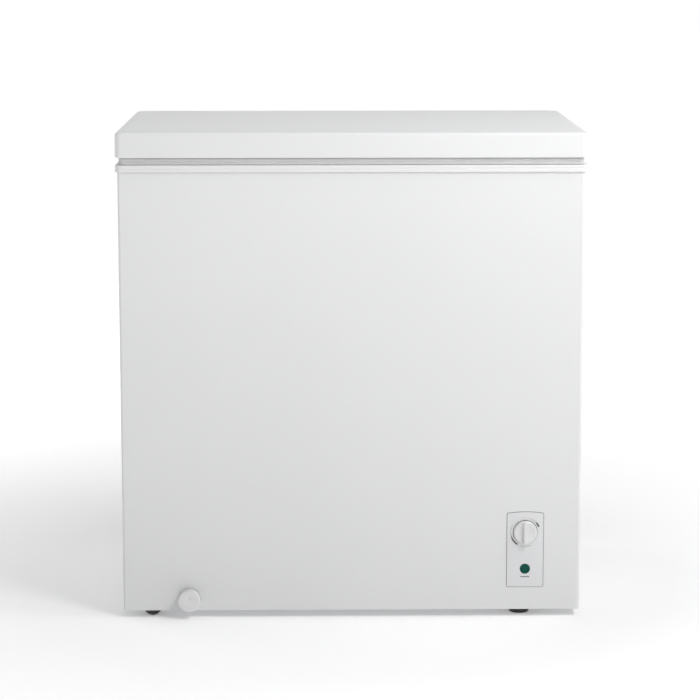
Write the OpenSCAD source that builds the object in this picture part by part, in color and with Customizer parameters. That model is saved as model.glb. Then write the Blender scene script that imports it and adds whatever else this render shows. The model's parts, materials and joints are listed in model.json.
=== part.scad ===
// Chest freezer: an insulated steel cabinet with a top-opening lid, a compressor bay at the lower
// right, a thermostat panel on the front and a pull-out drain at the lower left.
// X runs to the right, Y to the back and Z up. The origin is on the floor, under the middle.

/* [Overall] */
// Width over the lid and the rim
overall_w = 806; // [740:1:1100]
// Depth of the lid and the rim, front to back
overall_d = 524; // [480:1:700]
// Height from the floor to the top of the closed lid
overall_h = 850; // [700:1:1050]
// Gap between the floor and the bottom edge of the cabinet
floor_gap = 13; // [11:0.5:18]

/* [Cabinet] */
// Insulation thickness of the walls and the floor
wall = 50; // [42:1:70]
// How far the rim and the lid stand out past the cabinet
rim_overhang = 4; // [2:0.5:8]
// Height of the plastic rim on top of the cabinet
rim_h = 12; // [8:0.5:20]
// Wall thickness of the plastic rim
rim_t = 2.5; // [1.5:0.1:4]
// Width of the ledge around the cavity that carries the basket
ledge_w = 8; // [6:0.5:12]
// Thickness of the steel sheets
sheet = 0.8; // [0.5:0.1:1.2]
// Outer radius of the cabinet's upright corners
corner_r = 5; // [3:0.5:12]
// Width of the folded edges of the steel sheets
fold_w = 14; // [10:1:18]
// Thickness of the inner liner
liner_t = 1.2; // [0.8:0.1:2]
// Radius of the liner's upright corners
liner_r = 22; // [12:1:40]

/* [Compressor bay] */
// Width of the bay
bay_w = 200; // [196:1:240]
// Height of the bay above the bottom edge of the cabinet
bay_h = 222; // [210:1:260]
// Radius of the compressor's can
can_r = 75; // [62:0.5:78]
// Height of the compressor's can
can_h = 158; // [140:1:165]
// Height of the rubber mounts under the compressor
mount_h = 20; // [14:0.5:24]
// Thickness of the compressor's tray
tray_t = 1.5; // [1:0.1:3]

/* [Cooling tubes] */
// Outer radius of the evaporator tube
evap_r = 3.2; // [2.5:0.1:4]
// Outer radius of the condenser tube
cond_r = 2.4; // [2:0.1:3]
// Turns of each coil
coil_turns = 5; // [3:2:7]
// Depth of the coils' top turn below the top of the insulation
coil_top = 79.8; // [40:0.1:120]

/* [Lid] */
// Height of the lid's front face
lid_h = 43.5; // [36:0.5:60]
// Radius of the lid's edges and corners
lid_r = 5; // [3:0.5:10]
// Height of the soft gasket between the lid and the rim
gasket_h = 12.5; // [11:0.5:18]
// Width of the gasket where it meets the rim
gasket_w = 20; // [16:0.5:26]
// How far the gasket lies inside the lid's edge
gasket_inset = 5; // [4.5:0.5:10]
// How far the lid's inner panel reaches below the top of the rim
plug_depth = 5; // [2:0.5:7]
// Thickness of the lid's inner panel
panel_t = 1.5; // [1:0.1:2.5]

/* [Hinges] */
// Distance of each hinge from the side of the lid
hinge_inset = 110; // [80:1:160]
// Radius of the hinge pin
pin_r = 3; // [2:0.25:4]
// Radial running clearance of pins, spindles and axles
run_gap = 0.05; // [0.02:0.01:0.1]
// Distance of the pin's axis behind the rim
pin_back = 8; // [7.5:0.25:12]
// Height of the pin's axis above the top of the rim
pin_up = 4; // [2:0.5:8]
// Inside width between the ears of a hinge
hinge_in = 44; // [36:1:60]

/* [Drain] */
// Distance of the drain from the left side of the cabinet
drain_side = 116; // [110:1:160]
// Height of the drain's axis above the floor
drain_z = 34; // [32:0.5:40]
// Radius of the drain dial
dial_r = 19.3; // [16:0.1:22]
// How far the drain dial stands out of the cabinet's front
dial_out = 20; // [14:0.5:26]
// Inside radius of the drain pipe
drain_bore = 9; // [7.5:0.1:11]
// Travel of the drain dial when it is pulled out
dial_travel = 20; // [10:1:22]

/* [Controls] */
// Distance of the middle of the control panel from the right side of the cabinet
ctrl_side = 96; // [60:1:110]
// Height of the middle of the control panel above the floor
ctrl_z = 120.5; // [110:0.5:130]
// Width of the control panel
ctrl_w = 62.4; // [56:0.1:70]
// Height of the control panel
ctrl_h = 133; // [110:1:160]
// Height of the knob's axis above the middle of the panel
knob_up = 31; // [26:0.5:36]
// Radius of the thermostat knob
knob_r = 20.8; // [16:0.1:24]
// How far the knob stands out of the panel
knob_out = 14; // [10:0.5:18]
// Radius of the thermostat spindle
spindle_r = 3; // [2.5:0.1:3.5]
// Distance of the lamp below the middle of the panel
lamp_down = 34.5; // [28:0.5:42]
// Radius of the indicator lens
lens_r = 9; // [5:0.5:11]

/* [Basket] */
// Width of the basket along the cabinet
basket_w = 230; // [150:1:300]
// Height of the basket
basket_h = 205; // [120:1:260]
// Thickness of the basket's wires
wire_d = 3; // [2:0.5:5]

/* [Feet and rollers] */
// Distance of the rollers from the left side of the cabinet
roller_side = 50; // [44:1:60]
// Radius of the rollers
roller_r = 16; // [13:0.1:20]
// Width of the rollers
roller_w = 18; // [12:0.5:24]
// Distance of the feet from the right side of the cabinet
foot_side = 103; // [60:1:140]
// Radius of the feet at the top
foot_r = 20; // [15:0.5:24]
// Distance of the feet and the rollers behind the front of the rim
foot_set = 20; // [16:1:40]

/* [Hidden] */
$fn = 48;

// small overlap that keeps cuts clean
eps = 0.5;
// gap between pieces that are put together loosely
slack = 0.3;
// how far a tube's bends stand out past its straight runs
joint_bead = 0.1;

// cabinet box
body_w = overall_w - 2 * rim_overhang;
body_d = overall_d - 2 * rim_overhang;
body_x = body_w / 2;
body_y = body_d / 2;
in_x = body_x - sheet;
in_y = body_y - sheet;

// heights
z_base = floor_gap;
z_lid = overall_h - lid_h;
z_rim = z_lid - gasket_h;
z_shell = z_rim - rim_h;
z_foam = z_shell - liner_t;
z_floor = z_base + wall;
z_bay = z_base + bay_h;
z_step = z_bay + wall;

// cavity and compressor bay
cav_x = body_x - wall;
cav_y = body_y - wall;
bay_x = in_x - bay_w;
step_x = bay_x - wall;
bay_mid = bay_x + bay_w / 2;

// coils
groove = 2 * max(evap_r, cond_r) + 3.1;
evap_off = 0.6 + evap_r;
cond_off = 0.6 + cond_r;
coil_z0 = z_step + 32;
coil_z1 = z_foam - coil_top;
coil_pitch = (coil_z1 - coil_z0) / (coil_turns - 1);
evap_x = cav_x + liner_t + evap_off;
evap_y = cav_y + liner_t + evap_off;
cond_x = in_x - cond_off;
cond_y = in_y - cond_off;
evap_gap = [bay_mid - 68, bay_mid - 28];
cond_gap = [bay_mid + 22, bay_mid + 62];
tube_end = z_bay - 9;
evap_in = [(evap_gap[0] + evap_gap[1]) / 2, evap_y, tube_end];
evap_out = [evap_gap[1], evap_y, tube_end];
cond_in = [cond_gap[1], cond_y, tube_end];
cond_out = [(cond_gap[0] + cond_gap[1]) / 2, cond_y, tube_end];

// compressor
comp_back = 52;
comp_y = in_y - can_r - comp_back;
tray_z = z_base + sheet;
can_z = tray_z + tray_t + mount_h;
seam_z = can_z + can_h / 2;
can_t = 3;
can_edge = 22;
seam_lip = 4;
seam_h = 4;
drier_r = 8;
drier_l = 78;
drier_back = 9;
drier_drop = 22;
mount_x = can_r + 3;
mount_y = can_r - 9;
foot_bar_l = 2 * mount_x + 24;
foot_bar_w = 30;
foot_bar_t = 3;
mount_r = 11;
bolt_r = 3;
bolt_head_h = 5;
washer_t = 1.5;
grommet_cap = 4;

// pump inside the can: legs, crankcase block, motor, cylinder and cylinder head
pump_gap = 9.8;
pump_w = sqrt(2) * (can_r - can_t - pump_gap);
leg_h = 14;
leg_r = 6;
leg_in = 16;
crank_h = 44;
motor_r = 30;
motor_h = 46;
bore_z = 88;
bore_r = 17;
head_x = can_r - can_t - 20;
head_t = 12;
head_w = 40;

// relay box on the front of the can
relay_w = 48;
relay_h = 36;
relay_d = 28;
relay_up = 34;
relay_wall = 3;
relay_lid = 2;

// drain
drain_x = body_x - drain_side;
drain_set = 108;
drain_y = drain_set - body_y;
drain_wall = 2;
dial_t = 2;
dial_face_t = 3;
bush_r = drain_bore - 1.5;
spigot_r = bush_r - run_gap;
spigot_t = 2.6;
spigot_l = dial_travel + 6;
bush_l = dial_travel + 10;
bush_lip_r = dial_r - dial_t - 2.3;
ring_r = 0.8;
ring_back = 26;
ring_seat_r = bush_r - 0.02 - 2 * ring_r;
plug_head_r = drain_bore + 6;
plug_head_h = 4;
plug_stem = 14;
plug_tab = [16, 3, 12];
plug_tab_hole = 2.5;
flange_w = 6;
flange_t = 2;
dimple_r = 2.6;
dimple_up = 5;
outlet_w = 6;

// controls
ctrl_x = body_x - ctrl_side;
panel_sink = 0.6;
panel_lip = 5;
ctrl_t = 2.5;
ctrl_arch = 2.5;
ctrl_seam = 0.6;
panel_y = -body_y + panel_sink;
knob_z = ctrl_z + knob_up;
lamp_z = ctrl_z - lamp_down;
knob_seat = 0.8;
knob_gap = 0.6;
knob_rim = 4;
knob_step = 1;
ridge_w = 8;
ridge_d = 6;
spindle_in = 9;
thermo_y = panel_y + ctrl_t;
thermo_w = 42;
thermo_h = 46;
thermo_d = 24;
terminal_l = 8;
terminal_r = 2.5;
lens_out = 2;
lamp_r = 6;
lamp_l = 26;
sensor_r = 1.5;
bulb_r = 3;
wire_r = 2.5;
bulb_l = 90;
sensor_y = -in_y + 24;

// feet and rollers
foot_x = body_x - foot_side;
foot_recess = 4;
foot_taper = 3;
foot_y = -overall_d / 2 + foot_set + foot_r;
roller_x = body_x - roller_side;
roller_y = -overall_d / 2 + foot_set + roller_w / 2;
roller_groove = 3;
axle_r = 2.5;
house_gap = 3;
house_side = 1.5;
house_t = 1.5;
house_h = 2 * roller_r + house_gap;
house_z = min(z_base, roller_r - axle_r - 0.5);
house_lip = [8, 6];
screw_r = 2.5;
screw_head_r = 4.5;
screw_head_h = 3;
screw_l = 6;

// hinges
pin_y = overall_d / 2 + pin_back;
pin_z = z_rim + pin_up;
hinge_x = overall_w / 2 - hinge_inset;
ear_t = 2;
ear_boss = pin_back - 0.6;
hinge_plate_w = 60;
hinge_plate_t = 2;
hinge_plate_h = 84;
hinge_drop = 1;
knuckle_r = ear_boss - 1;
spring_room = 14;
knuckle_l = hinge_in - 2 * spring_room;
arm_z0 = z_lid + 4;
arm_z1 = overall_h - 10;
spring_wire = 0.9;
spring_r = pin_r + 2;
spring_coils = 5;
spring_leg = [8, -32];
hinge_screw_r = 2;
hinge_screw_head = 4;
hinge_screw_head_h = 2;
hinge_screw_l = 8;
lid_screw_l = 10;

// lid
gasket_x = overall_w / 2 - gasket_inset;
gasket_y = overall_d / 2 - gasket_inset;
gasket_foot_h = 5;
gasket_neck = 4;
lid_fold = 4;
plug_z = z_rim - plug_depth;
plug_gap = 6;
plug_x = cav_x - plug_gap;
plug_y = cav_y - plug_gap;

// basket
basket_x = cav_x - 4 - basket_w / 2;
basket_y = cav_y - 4;
basket_rim_h = min(4, rim_h - plug_depth - 1);
basket_r = liner_r;
hook_end = basket_r + 2;
basket_hang = cav_y + ledge_w - 1.5;
basket_cols = 8;
basket_side_cols = 13;
basket_rows = 4;
basket_z = z_shell - basket_h + basket_rim_h;

// rear cover
cover_t = 1.5;
cover_lap = 9;
vent_w = 46;
vent_h = 5;
vent_rows = 12;
vent_cols = 3;
vent_gap = 9;
vent_step = 13.5;
vent_up = 52;
cover_screw_in = 30;
gland_x = bay_x + 26;
gland_z = z_base + 26;
gland_bore = 4;
gland_r = 8;

module rrect(w, d, r) {
    square([w - 2 * r, d], center = true);
    square([w, d - 2 * r], center = true);
    for (sx = [-1, 1], sy = [-1, 1])
        translate([sx * (w / 2 - r), sy * (d / 2 - r)]) circle(r);
}

module rslab(w, d, r, z0, z1) {
    translate([0, 0, z0]) linear_extrude(z1 - z0) rrect(w, d, r);
}

module rod(a, b, r) {
    v = b - a;
    reach = norm(v);
    translate(a) rotate([0, acos(v[2] / reach), atan2(v[1], v[0])]) cylinder(h = reach, r = r);
}

module pipe(points, r) {
    for (i = [0:len(points) - 2]) rod(points[i], points[i + 1], r);
    for (i = [1:len(points) - 2]) translate(points[i]) sphere(r + joint_bead);
}

// a round bar or hole along Y, from y0 to y1
module along_y(x, z, y0, y1, r) {
    translate([x, y0, z]) rotate([-90, 0, 0]) cylinder(h = y1 - y0, r = r);
}

// a round bar or hole along X, from x0 to x1
module along_x(y, z, x0, x1, r) {
    translate([x0, y, z]) rotate([0, 90, 0]) cylinder(h = x1 - x0, r = r);
}

// a block between two corners
module block(a, b) {
    translate(a) cube(b - a);
}

// a smooth curve through the points, with n steps from each point to the next
function spline(p, n) = concat(
    [for (i = [0:len(p) - 2], k = [0:n - 1])
        let (t = k / n, a = p[max(i - 1, 0)], b = p[i], c = p[i + 1], d = p[min(i + 2, len(p) - 1)])
        (2 * b + (c - a) * t + (2 * a - 5 * b + 4 * c - d) * t * t
            + (3 * b - a - 3 * c + d) * t * t * t) / 2],
    [p[len(p) - 1]]);

// a round wire along a path: one ring of points at each path point
module wire_sweep(path, r, sides) {
    last = len(path) - 1;
    rings = [for (i = [0:last])
        let (t = path[min(i + 1, last)] - path[max(i - 1, 0)], u = t / norm(t),
            c = cross(u, [1, 0.02, 0.01]), n = c / norm(c), b = cross(u, n))
        for (k = [0:sides - 1]) let (a = 360 * k / sides)
            path[i] + r * (cos(a) * n + sin(a) * b)];
    walls = [for (i = [0:last - 1], k = [0:sides - 1]) let (m = (k + 1) % sides)
        [i * sides + k, i * sides + m, (i + 1) * sides + m, (i + 1) * sides + k]];
    polyhedron(rings, concat(walls, [[for (k = [sides - 1:-1:0]) k]],
        [[for (k = [0:sides - 1]) last * sides + k]]));
}

// ---------- cabinet ----------

module panel_outline(grow) {
    w = ctrl_w + 2 * grow;
    h = ctrl_h + 2 * grow;
    arch_r = (pow(w / 2, 2) + pow(ctrl_arch, 2)) / (2 * ctrl_arch);
    intersection() {
        rrect(w, h, 3);
        translate([0, h / 2 - arch_r]) circle(arch_r, $fn = 180);
    }
}

module panel_slab(grow, y0, y1) {
    translate([ctrl_x, y1, ctrl_z]) rotate([90, 0, 0]) linear_extrude(y1 - y0) panel_outline(grow);
}

module outer_shell() {
    color("white") difference() {
        union() {
            difference() {
                rslab(body_w, body_d, corner_r, z_base, z_shell);
                rslab(body_w - 2 * sheet, body_d - 2 * sheet, corner_r - sheet,
                    z_base - eps, z_shell + eps);
            }
            bottom_fold();
        }
        block([-body_x + fold_w, in_y - eps, z_base - eps],
            [body_x - fold_w, body_y + eps, z_shell + eps]);
        panel_slab(ctrl_seam, -body_y - eps, -in_y + eps);
        along_y(-drain_x, drain_z, -body_y - eps, -in_y + eps, drain_bore + drain_wall);
        for (p = tray_screw_places("shell")) translate([p[0], p[1], 0])
            cylinder(h = z_base + sheet + eps, r = screw_r);
        cover_screw_holes("shell", in_y - eps, body_y + eps);
    }
}

// folded edge that carries the tray, along the front and the right side of the bay
module bottom_fold() {
    difference() {
        intersection() {
            rslab(2 * in_x, 2 * in_y, corner_r - sheet, z_base, z_base + sheet);
            block([bay_x + fold_w + slack, -in_y, z_base], [in_x, in_y, z_base + sheet]);
        }
        block([bay_x, -in_y + fold_w, z_base - eps],
            [in_x - fold_w, in_y + eps, z_base + sheet + eps]);
    }
}

module rear_panel() {
    color("gainsboro") difference() {
        block([-body_x + fold_w, in_y, z_base], [body_x - fold_w, body_y, z_shell]);
        block([bay_x, in_y - eps, z_base - eps], [body_x, body_y + eps, z_bay]);
        for (p = hinge_screw_places()) along_y(p[0], p[1], in_y - eps, body_y + eps, hinge_screw_r);
        cover_screw_holes("panel", in_y - eps, body_y + eps);
    }
}

module base_panel() {
    color("lightgray") difference() {
        union() {
            intersection() {
                rslab(2 * in_x, 2 * in_y, corner_r - sheet, z_base, z_base + sheet);
                block([-in_x, -in_y, z_base], [bay_x, in_y, z_base + sheet]);
            }
            block([bay_x - sheet, -in_y, z_base], [bay_x, in_y, z_bay + sheet]);
            intersection() {
                rslab(2 * in_x, 2 * in_y, corner_r - sheet, z_bay, z_bay + sheet);
                block([bay_x, -in_y, z_bay], [in_x, in_y, z_bay + sheet]);
            }
            block([bay_x, -in_y + sheet, z_base], [bay_x + fold_w, in_y - sheet, z_base + sheet]);
        }
        for (y = [roller_y, -roller_y]) house_block(y, house_t, house_z - eps);
        for (p = [evap_in, evap_out, cond_in, cond_out])
            translate([p[0], p[1], z_bay - eps]) cylinder(h = sheet + 2 * eps, r = evap_r + slack);
        translate([ctrl_x, sensor_y, z_bay - eps]) cylinder(h = sheet + 2 * eps, r = bulb_r);
        for (p = tray_screw_places("base")) translate([p[0], p[1], 0])
            cylinder(h = z_base + sheet + eps, r = screw_r);
    }
}

module rim_collar() {
    inner_w = 2 * (cav_x + ledge_w);
    inner_d = 2 * (cav_y + ledge_w);
    color("white") difference() {
        rslab(overall_w, overall_d, lid_r, z_shell, z_rim);
        difference() {
            rslab(overall_w - 2 * rim_t, overall_d - 2 * rim_t, lid_r - rim_t,
                z_shell - eps, z_rim - rim_t);
            rslab(inner_w + 2 * rim_t, inner_d + 2 * rim_t, liner_r + ledge_w,
                z_shell - 2 * eps, z_rim);
        }
        rslab(inner_w, inner_d, liner_r + ledge_w - rim_t, z_shell - eps, z_rim + eps);
    }
}

// the cavity's shape, grown by g, as a deep part and a full-width upper part
module cavity(g, top) {
    rslab(2 * (cav_x + g), 2 * (cav_y + g), liner_r + g, z_step - g, top);
    translate([(step_x - cav_x) / 2, 0, 0])
        rslab(cav_x + step_x + 2 * g, 2 * (cav_y + g), liner_r + g, z_floor - g, top);
}

module inner_liner() {
    color("gainsboro") difference() {
        union() {
            cavity(liner_t, z_foam + liner_t);
            rslab(2 * in_x, 2 * in_y, corner_r - sheet, z_foam, z_shell);
        }
        cavity(0, z_shell + eps);
        translate([-drain_x, drain_y, z_floor - liner_t - eps])
            cylinder(h = liner_t + 2 * eps, r = drain_bore + drain_wall);
    }
}

module groove_rings(outer_w, outer_d, outer_r, inner_w, inner_d, inner_r) {
    for (i = [0:coil_turns - 1]) {
        z = coil_z0 + i * coil_pitch;
        difference() {
            rslab(outer_w, outer_d, outer_r, z - groove / 2, z + groove / 2);
            rslab(inner_w, inner_d, inner_r, z - groove, z + groove);
        }
    }
}

module foam_body() {
    deep = evap_r + evap_off + 1;
    thin = cond_r + cond_off + 1;
    color("khaki") difference() {
        rslab(2 * in_x, 2 * in_y, corner_r - sheet, z_base + sheet, z_foam);
        block([bay_x - sheet, -in_y - eps, z_base], [in_x + eps, in_y + eps, z_bay + sheet]);
        cavity(liner_t, z_foam + eps);
        groove_rings(2 * (cav_x + liner_t + deep), 2 * (cav_y + liner_t + deep),
            liner_r + liner_t + deep, 2 * cav_x, 2 * cav_y, liner_r);
        groove_rings(2 * body_x, 2 * body_y, corner_r,
            2 * (in_x - thin), 2 * (in_y - thin), corner_r + thin);
        block([evap_gap[0] - groove / 2, cav_y, z_bay],
            [evap_gap[1] + groove / 2, cav_y + liner_t + deep, coil_z1 + groove / 2]);
        block([cond_gap[0] - groove / 2, in_y - thin, z_bay],
            [cond_gap[1] + groove / 2, in_y + eps, coil_z1 + groove / 2]);
        translate([ctrl_x, sensor_y, z_bay]) cylinder(h = bulb_l + 12, r = bulb_r);
        drain_route(drain_bore + drain_wall);
        drain_flange(eps);
        for (y = [roller_y, -roller_y]) {
            house_block(y, house_t, z_base);
            house_flange(y);
        }
        for (p = hinge_screw_places())
            along_y(p[0], p[1], in_y - hinge_screw_l, in_y + eps, hinge_screw_r);
        cover_screw_holes("panel", in_y - hinge_screw_l, in_y + eps);
    }
}

// a tube in turns, open at the back, where it climbs from turn to turn and comes back down
module coil(hx, hy, rc, gap, r, first, last) {
    mid = (gap[0] + gap[1]) / 2;
    for (i = [0:coil_turns - 1]) {
        z = coil_z0 + i * coil_pitch;
        rod([hx, rc - hy, z], [hx, hy - rc, z], r);
        rod([-hx, rc - hy, z], [-hx, hy - rc, z], r);
        rod([rc - hx, -hy, z], [hx - rc, -hy, z], r);
        rod([gap[1], hy, z], [hx - rc, hy, z], r);
        rod([rc - hx, hy, z], [gap[0], hy, z], r);
        for (c = [[1, 1, 0], [-1, 1, 90], [-1, -1, 180], [1, -1, 270]])
            translate([c[0] * (hx - rc), c[1] * (hy - rc), z]) rotate([0, 0, c[2]])
                rotate_extrude(angle = 90) translate([rc, 0]) circle(r);
        for (x = gap) translate([x, hy, z]) sphere(r);
    }
    for (i = [0:coil_turns - 2]) {
        z = coil_z0 + i * coil_pitch;
        x = gap[i % 2];
        rod([x, hy, z], [x, hy, z + coil_pitch], r);
    }
    rod(first, [first[0], hy, coil_z0], r);
    rod([gap[0], hy, coil_z1], [mid, hy, coil_z1], r);
    translate([mid, hy, coil_z1]) sphere(r);
    rod(last, [last[0], hy, coil_z1], r);
}

module evaporator_coil() {
    color("silver") coil(evap_x, evap_y, liner_r + liner_t + evap_off, evap_gap, evap_r,
        evap_out, evap_in);
}

module condenser_coil() {
    color("peru") coil(cond_x, cond_y, corner_r + cond_off + 6, cond_gap, cond_r,
        cond_in, cond_out);
}

// ---------- drain ----------

// the drain's path: down from the cavity floor and forward to the front sheet
module drain_route(r) {
    translate([-drain_x, drain_y, drain_z]) {
        cylinder(h = z_floor - drain_z, r = r);
        sphere(r);
    }
    along_y(-drain_x, drain_z, -in_y, drain_y, r);
}

module drain_flange(extra) {
    translate([-drain_x, drain_y, z_floor - liner_t - flange_t])
        cylinder(h = flange_t + extra, r = drain_bore + drain_wall + flange_w);
}

module drain_pipe() {
    color("whitesmoke") difference() {
        union() {
            drain_route(drain_bore + drain_wall);
            drain_flange(0);
        }
        drain_route(drain_bore);
        translate([-drain_x, drain_y, drain_z]) cylinder(h = wall, r = drain_bore);
        along_y(-drain_x, drain_z, -body_y, drain_y, drain_bore);
    }
}

module drain_bush() {
    front = -body_y - 2;
    color("whitesmoke") difference() {
        union() {
            along_y(-drain_x, drain_z, front, -body_y, bush_lip_r);
            along_y(-drain_x, drain_z, -body_y, front + bush_l, drain_bore);
        }
        along_y(-drain_x, drain_z, front - eps, front + bush_l + eps, bush_r);
    }
}

// half the section of a disc of radius r and thickness t, with its front edge rounded by e
module rounded_disc(r, t, e) {
    square([r - e, t]);
    translate([0, e]) square([r, t - e]);
    intersection() {
        translate([r - e, e]) circle(e);
        square([r, e]);
    }
}

module drain_dial() {
    front = -body_y - dial_out;
    back = -body_y - slack;
    ring_y = front + ring_back;
    color("whitesmoke") difference() {
        union() {
            translate([-drain_x, front, drain_z]) rotate([-90, 0, 0]) rotate_extrude()
                difference() {
                    rounded_disc(dial_r, back - front, 2);
                    translate([0, dial_face_t]) square([dial_r - dial_t, back - front]);
                }
            along_y(-drain_x, drain_z, front + 2, front + dial_out + spigot_l, spigot_r);
        }
        along_y(-drain_x, drain_z, front + outlet_w, front + dial_out + spigot_l + eps,
            spigot_r - spigot_t);
        // outlet through the lower side of the spigot
        block([-drain_x - outlet_w / 2, front + outlet_w + 1, drain_z - spigot_r - 1],
            [-drain_x + outlet_w / 2, front + 2 * outlet_w + 1, drain_z - spigot_r + spigot_t + 1]);
        // groove for the ring
        translate([-drain_x, ring_y, drain_z]) rotate([-90, 0, 0]) rotate_extrude()
            translate([ring_seat_r, -ring_r]) square([2 * ring_r + 1, 2 * ring_r]);
        // finger dimple in the face
        translate([-drain_x, front - dimple_r + 1, drain_z + dimple_up]) sphere(dimple_r);
    }
}

module drain_o_ring() {
    color("dimgray") translate([-drain_x, -body_y - dial_out + ring_back, drain_z])
        rotate([-90, 0, 0]) rotate_extrude()
            translate([ring_seat_r + ring_r, 0]) circle(ring_r);
}

module drain_plug() {
    color("white") translate([-drain_x, drain_y, z_floor]) difference() {
        union() {
            cylinder(h = plug_head_h, r = plug_head_r);
            translate([0, 0, -plug_stem]) cylinder(h = plug_stem, r = drain_bore - 2 * run_gap);
            translate([0, 0, plug_head_h + 2]) cube(plug_tab, center = true);
        }
        along_y(0, plug_head_h + 4, -plug_tab[1], plug_tab[1], plug_tab_hole);
    }
}

// ---------- controls ----------

module control_panel() {
    color("white") difference() {
        union() {
            panel_slab(0, panel_y, -in_y);
            panel_slab(panel_lip, -in_y, panel_y + ctrl_t);
        }
        along_y(ctrl_x, knob_z, panel_y - eps, panel_y + ctrl_t + eps, spindle_r + 2);
        along_y(ctrl_x, lamp_z, panel_y - eps, panel_y + ctrl_t + eps, lens_r);
        // shallow round seat under the knob
        along_y(ctrl_x, knob_z, panel_y - eps, panel_y + knob_seat, knob_r + knob_seat);
    }
}

module thermostat_knob() {
    base = panel_y + knob_seat - knob_gap;
    face = panel_y - knob_out;
    top_r = knob_r - knob_step;
    color("white") difference() {
        union() {
            along_y(ctrl_x, knob_z, base - knob_rim, base, knob_r);
            along_y(ctrl_x, knob_z, face + ridge_d, base - knob_rim, top_r);
            // grip ridge across the face
            intersection() {
                along_y(ctrl_x, knob_z, face, face + ridge_d + 1, top_r);
                block([ctrl_x - ridge_w / 2, face, knob_z - knob_r],
                    [ctrl_x + ridge_w / 2, face + ridge_d + 1, knob_z + knob_r]);
            }
        }
        spindle_shape(base - spindle_in, base + eps);
    }
}

module spindle_shape(y0, y1) {
    intersection() {
        along_y(ctrl_x, knob_z, y0, y1, spindle_r);
        block([ctrl_x - spindle_r, y0, knob_z - spindle_r],
            [ctrl_x + spindle_r, y1, knob_z + spindle_r / 2]);
    }
}

module thermostat_spindle() {
    base = panel_y + knob_seat - knob_gap;
    color("gray") spindle_shape(base - spindle_in, thermo_y - eps);
    color("gray") along_y(ctrl_x, knob_z, thermo_y - eps, thermo_y + thermo_d / 2, spindle_r);
}

module thermostat_body() {
    color("darkgray") difference() {
        union() {
            block([ctrl_x - thermo_w / 2, thermo_y, knob_z - thermo_h / 2],
                [ctrl_x + thermo_w / 2, thermo_y + thermo_d, knob_z + thermo_h / 2]);
            for (sx = [-1, 1])
                along_y(ctrl_x + sx * (thermo_w / 2 - terminal_l), knob_z, thermo_y + thermo_d,
                    thermo_y + thermo_d + terminal_l, terminal_r);
        }
        along_y(ctrl_x, knob_z, thermo_y - eps, thermo_y + thermo_d / 2 + 2, spindle_r + run_gap);
    }
}

module indicator_lens() {
    color("darkgreen") {
        translate([ctrl_x, panel_y - lens_out, lamp_z]) rotate([-90, 0, 0]) rotate_extrude()
            rounded_disc(lens_r, ctrl_t + lens_out, lens_out);
    }
}

module lamp_holder() {
    color("ivory") {
        along_y(ctrl_x, lamp_z, thermo_y, thermo_y + 3, lens_r + 3);
        along_y(ctrl_x, lamp_z, thermo_y + 3, thermo_y + lamp_l, lamp_r);
    }
}

module sensor_tube() {
    start = thermo_y + thermo_d / 2;
    top = knob_z + thermo_h / 2;
    color("darkgray") {
        pipe([[ctrl_x, start, top], [ctrl_x, start, top + 12], [ctrl_x, sensor_y, top + 30],
            [ctrl_x, sensor_y, z_bay + 8]], sensor_r);
        translate([ctrl_x, sensor_y, z_bay + 8]) cylinder(h = bulb_l, r = bulb_r - slack);
    }
}

// ---------- compressor bay ----------

function tray_screw_places(side) =
    side == "base"
        ? [for (y = [-1, 1]) [bay_x + fold_w / 2, y * (in_y - 60)]]
        : [for (y = [-1, 1]) [in_x - fold_w / 2, y * (in_y - 60)]];

function mount_places() =
    [for (sx = [-1, 1], sy = [-1, 1]) [bay_mid + sx * mount_x, comp_y + sy * mount_y]];

module compressor_tray() {
    top = tray_z + tray_t;
    x0 = bay_x + slack;
    x1 = in_x - slack;
    y0 = -in_y + corner_r;
    y1 = in_y - corner_r;
    color("silver") difference() {
        union() {
            block([x0, y0, tray_z], [x1, y1, top]);
            block([x0, y0, top], [x0 + tray_t, y1, top + 8]);
            block([x1 - tray_t, y0, top], [x1, y1, top + 8]);
        }
        for (p = mount_places()) translate([p[0], p[1], z_base])
            cylinder(h = 2 * tray_t + sheet, r = bolt_r);
        for (p = concat(tray_screw_places("base"), tray_screw_places("shell"), foot_places()))
            translate([p[0], p[1], z_base]) cylinder(h = 2 * tray_t + sheet, r = screw_r);
        // air slots ahead of the compressor
        for (i = [0:5]) block([bay_mid - 60, foot_y + 62 + i * 14, z_base],
            [bay_mid + 60, foot_y + 67 + i * 14, top + eps]);
    }
}

// the compressor's can, or its inside, from z0 up to z1
module can(inset, z0, z1) {
    r = can_r - inset;
    h = can_h - 2 * inset;
    e = can_edge - inset;
    intersection() {
        translate([bay_mid, comp_y, can_z + inset]) rotate_extrude() {
            square([r - e, h]);
            translate([0, e]) square([r, h - 2 * e]);
            for (z = [e, h - e]) intersection() {
                translate([r - e, z]) circle(e);
                square([r, h]);
            }
        }
        translate([bay_mid, comp_y, z0]) cylinder(h = z1 - z0, r = can_r + 1);
    }
}

// the can's straight wall, as a plain cylinder
module can_cut() {
    translate([bay_mid, comp_y, can_z]) cylinder(h = can_h, r = can_r);
}

module compressor_lower_shell() {
    color("#222222") difference() {
        union() {
            can(0, can_z, seam_z);
            translate([bay_mid, comp_y, seam_z - seam_h])
                cylinder(h = seam_h, r = can_r + seam_lip);
            for (sy = [-1, 1]) translate([bay_mid, comp_y + sy * mount_y, can_z + foot_bar_t / 2])
                cube([foot_bar_l, foot_bar_w, foot_bar_t], center = true);
        }
        can(can_t, can_z, seam_z + eps);
        for (p = mount_places()) translate([p[0], p[1], can_z - eps])
            cylinder(h = foot_bar_t + 2 * eps, r = mount_r - 3);
    }
}

module compressor_upper_shell() {
    color("#222222") difference() {
        can(0, seam_z, can_z + can_h);
        can(can_t, seam_z - eps, can_z + can_h);
    }
}

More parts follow.
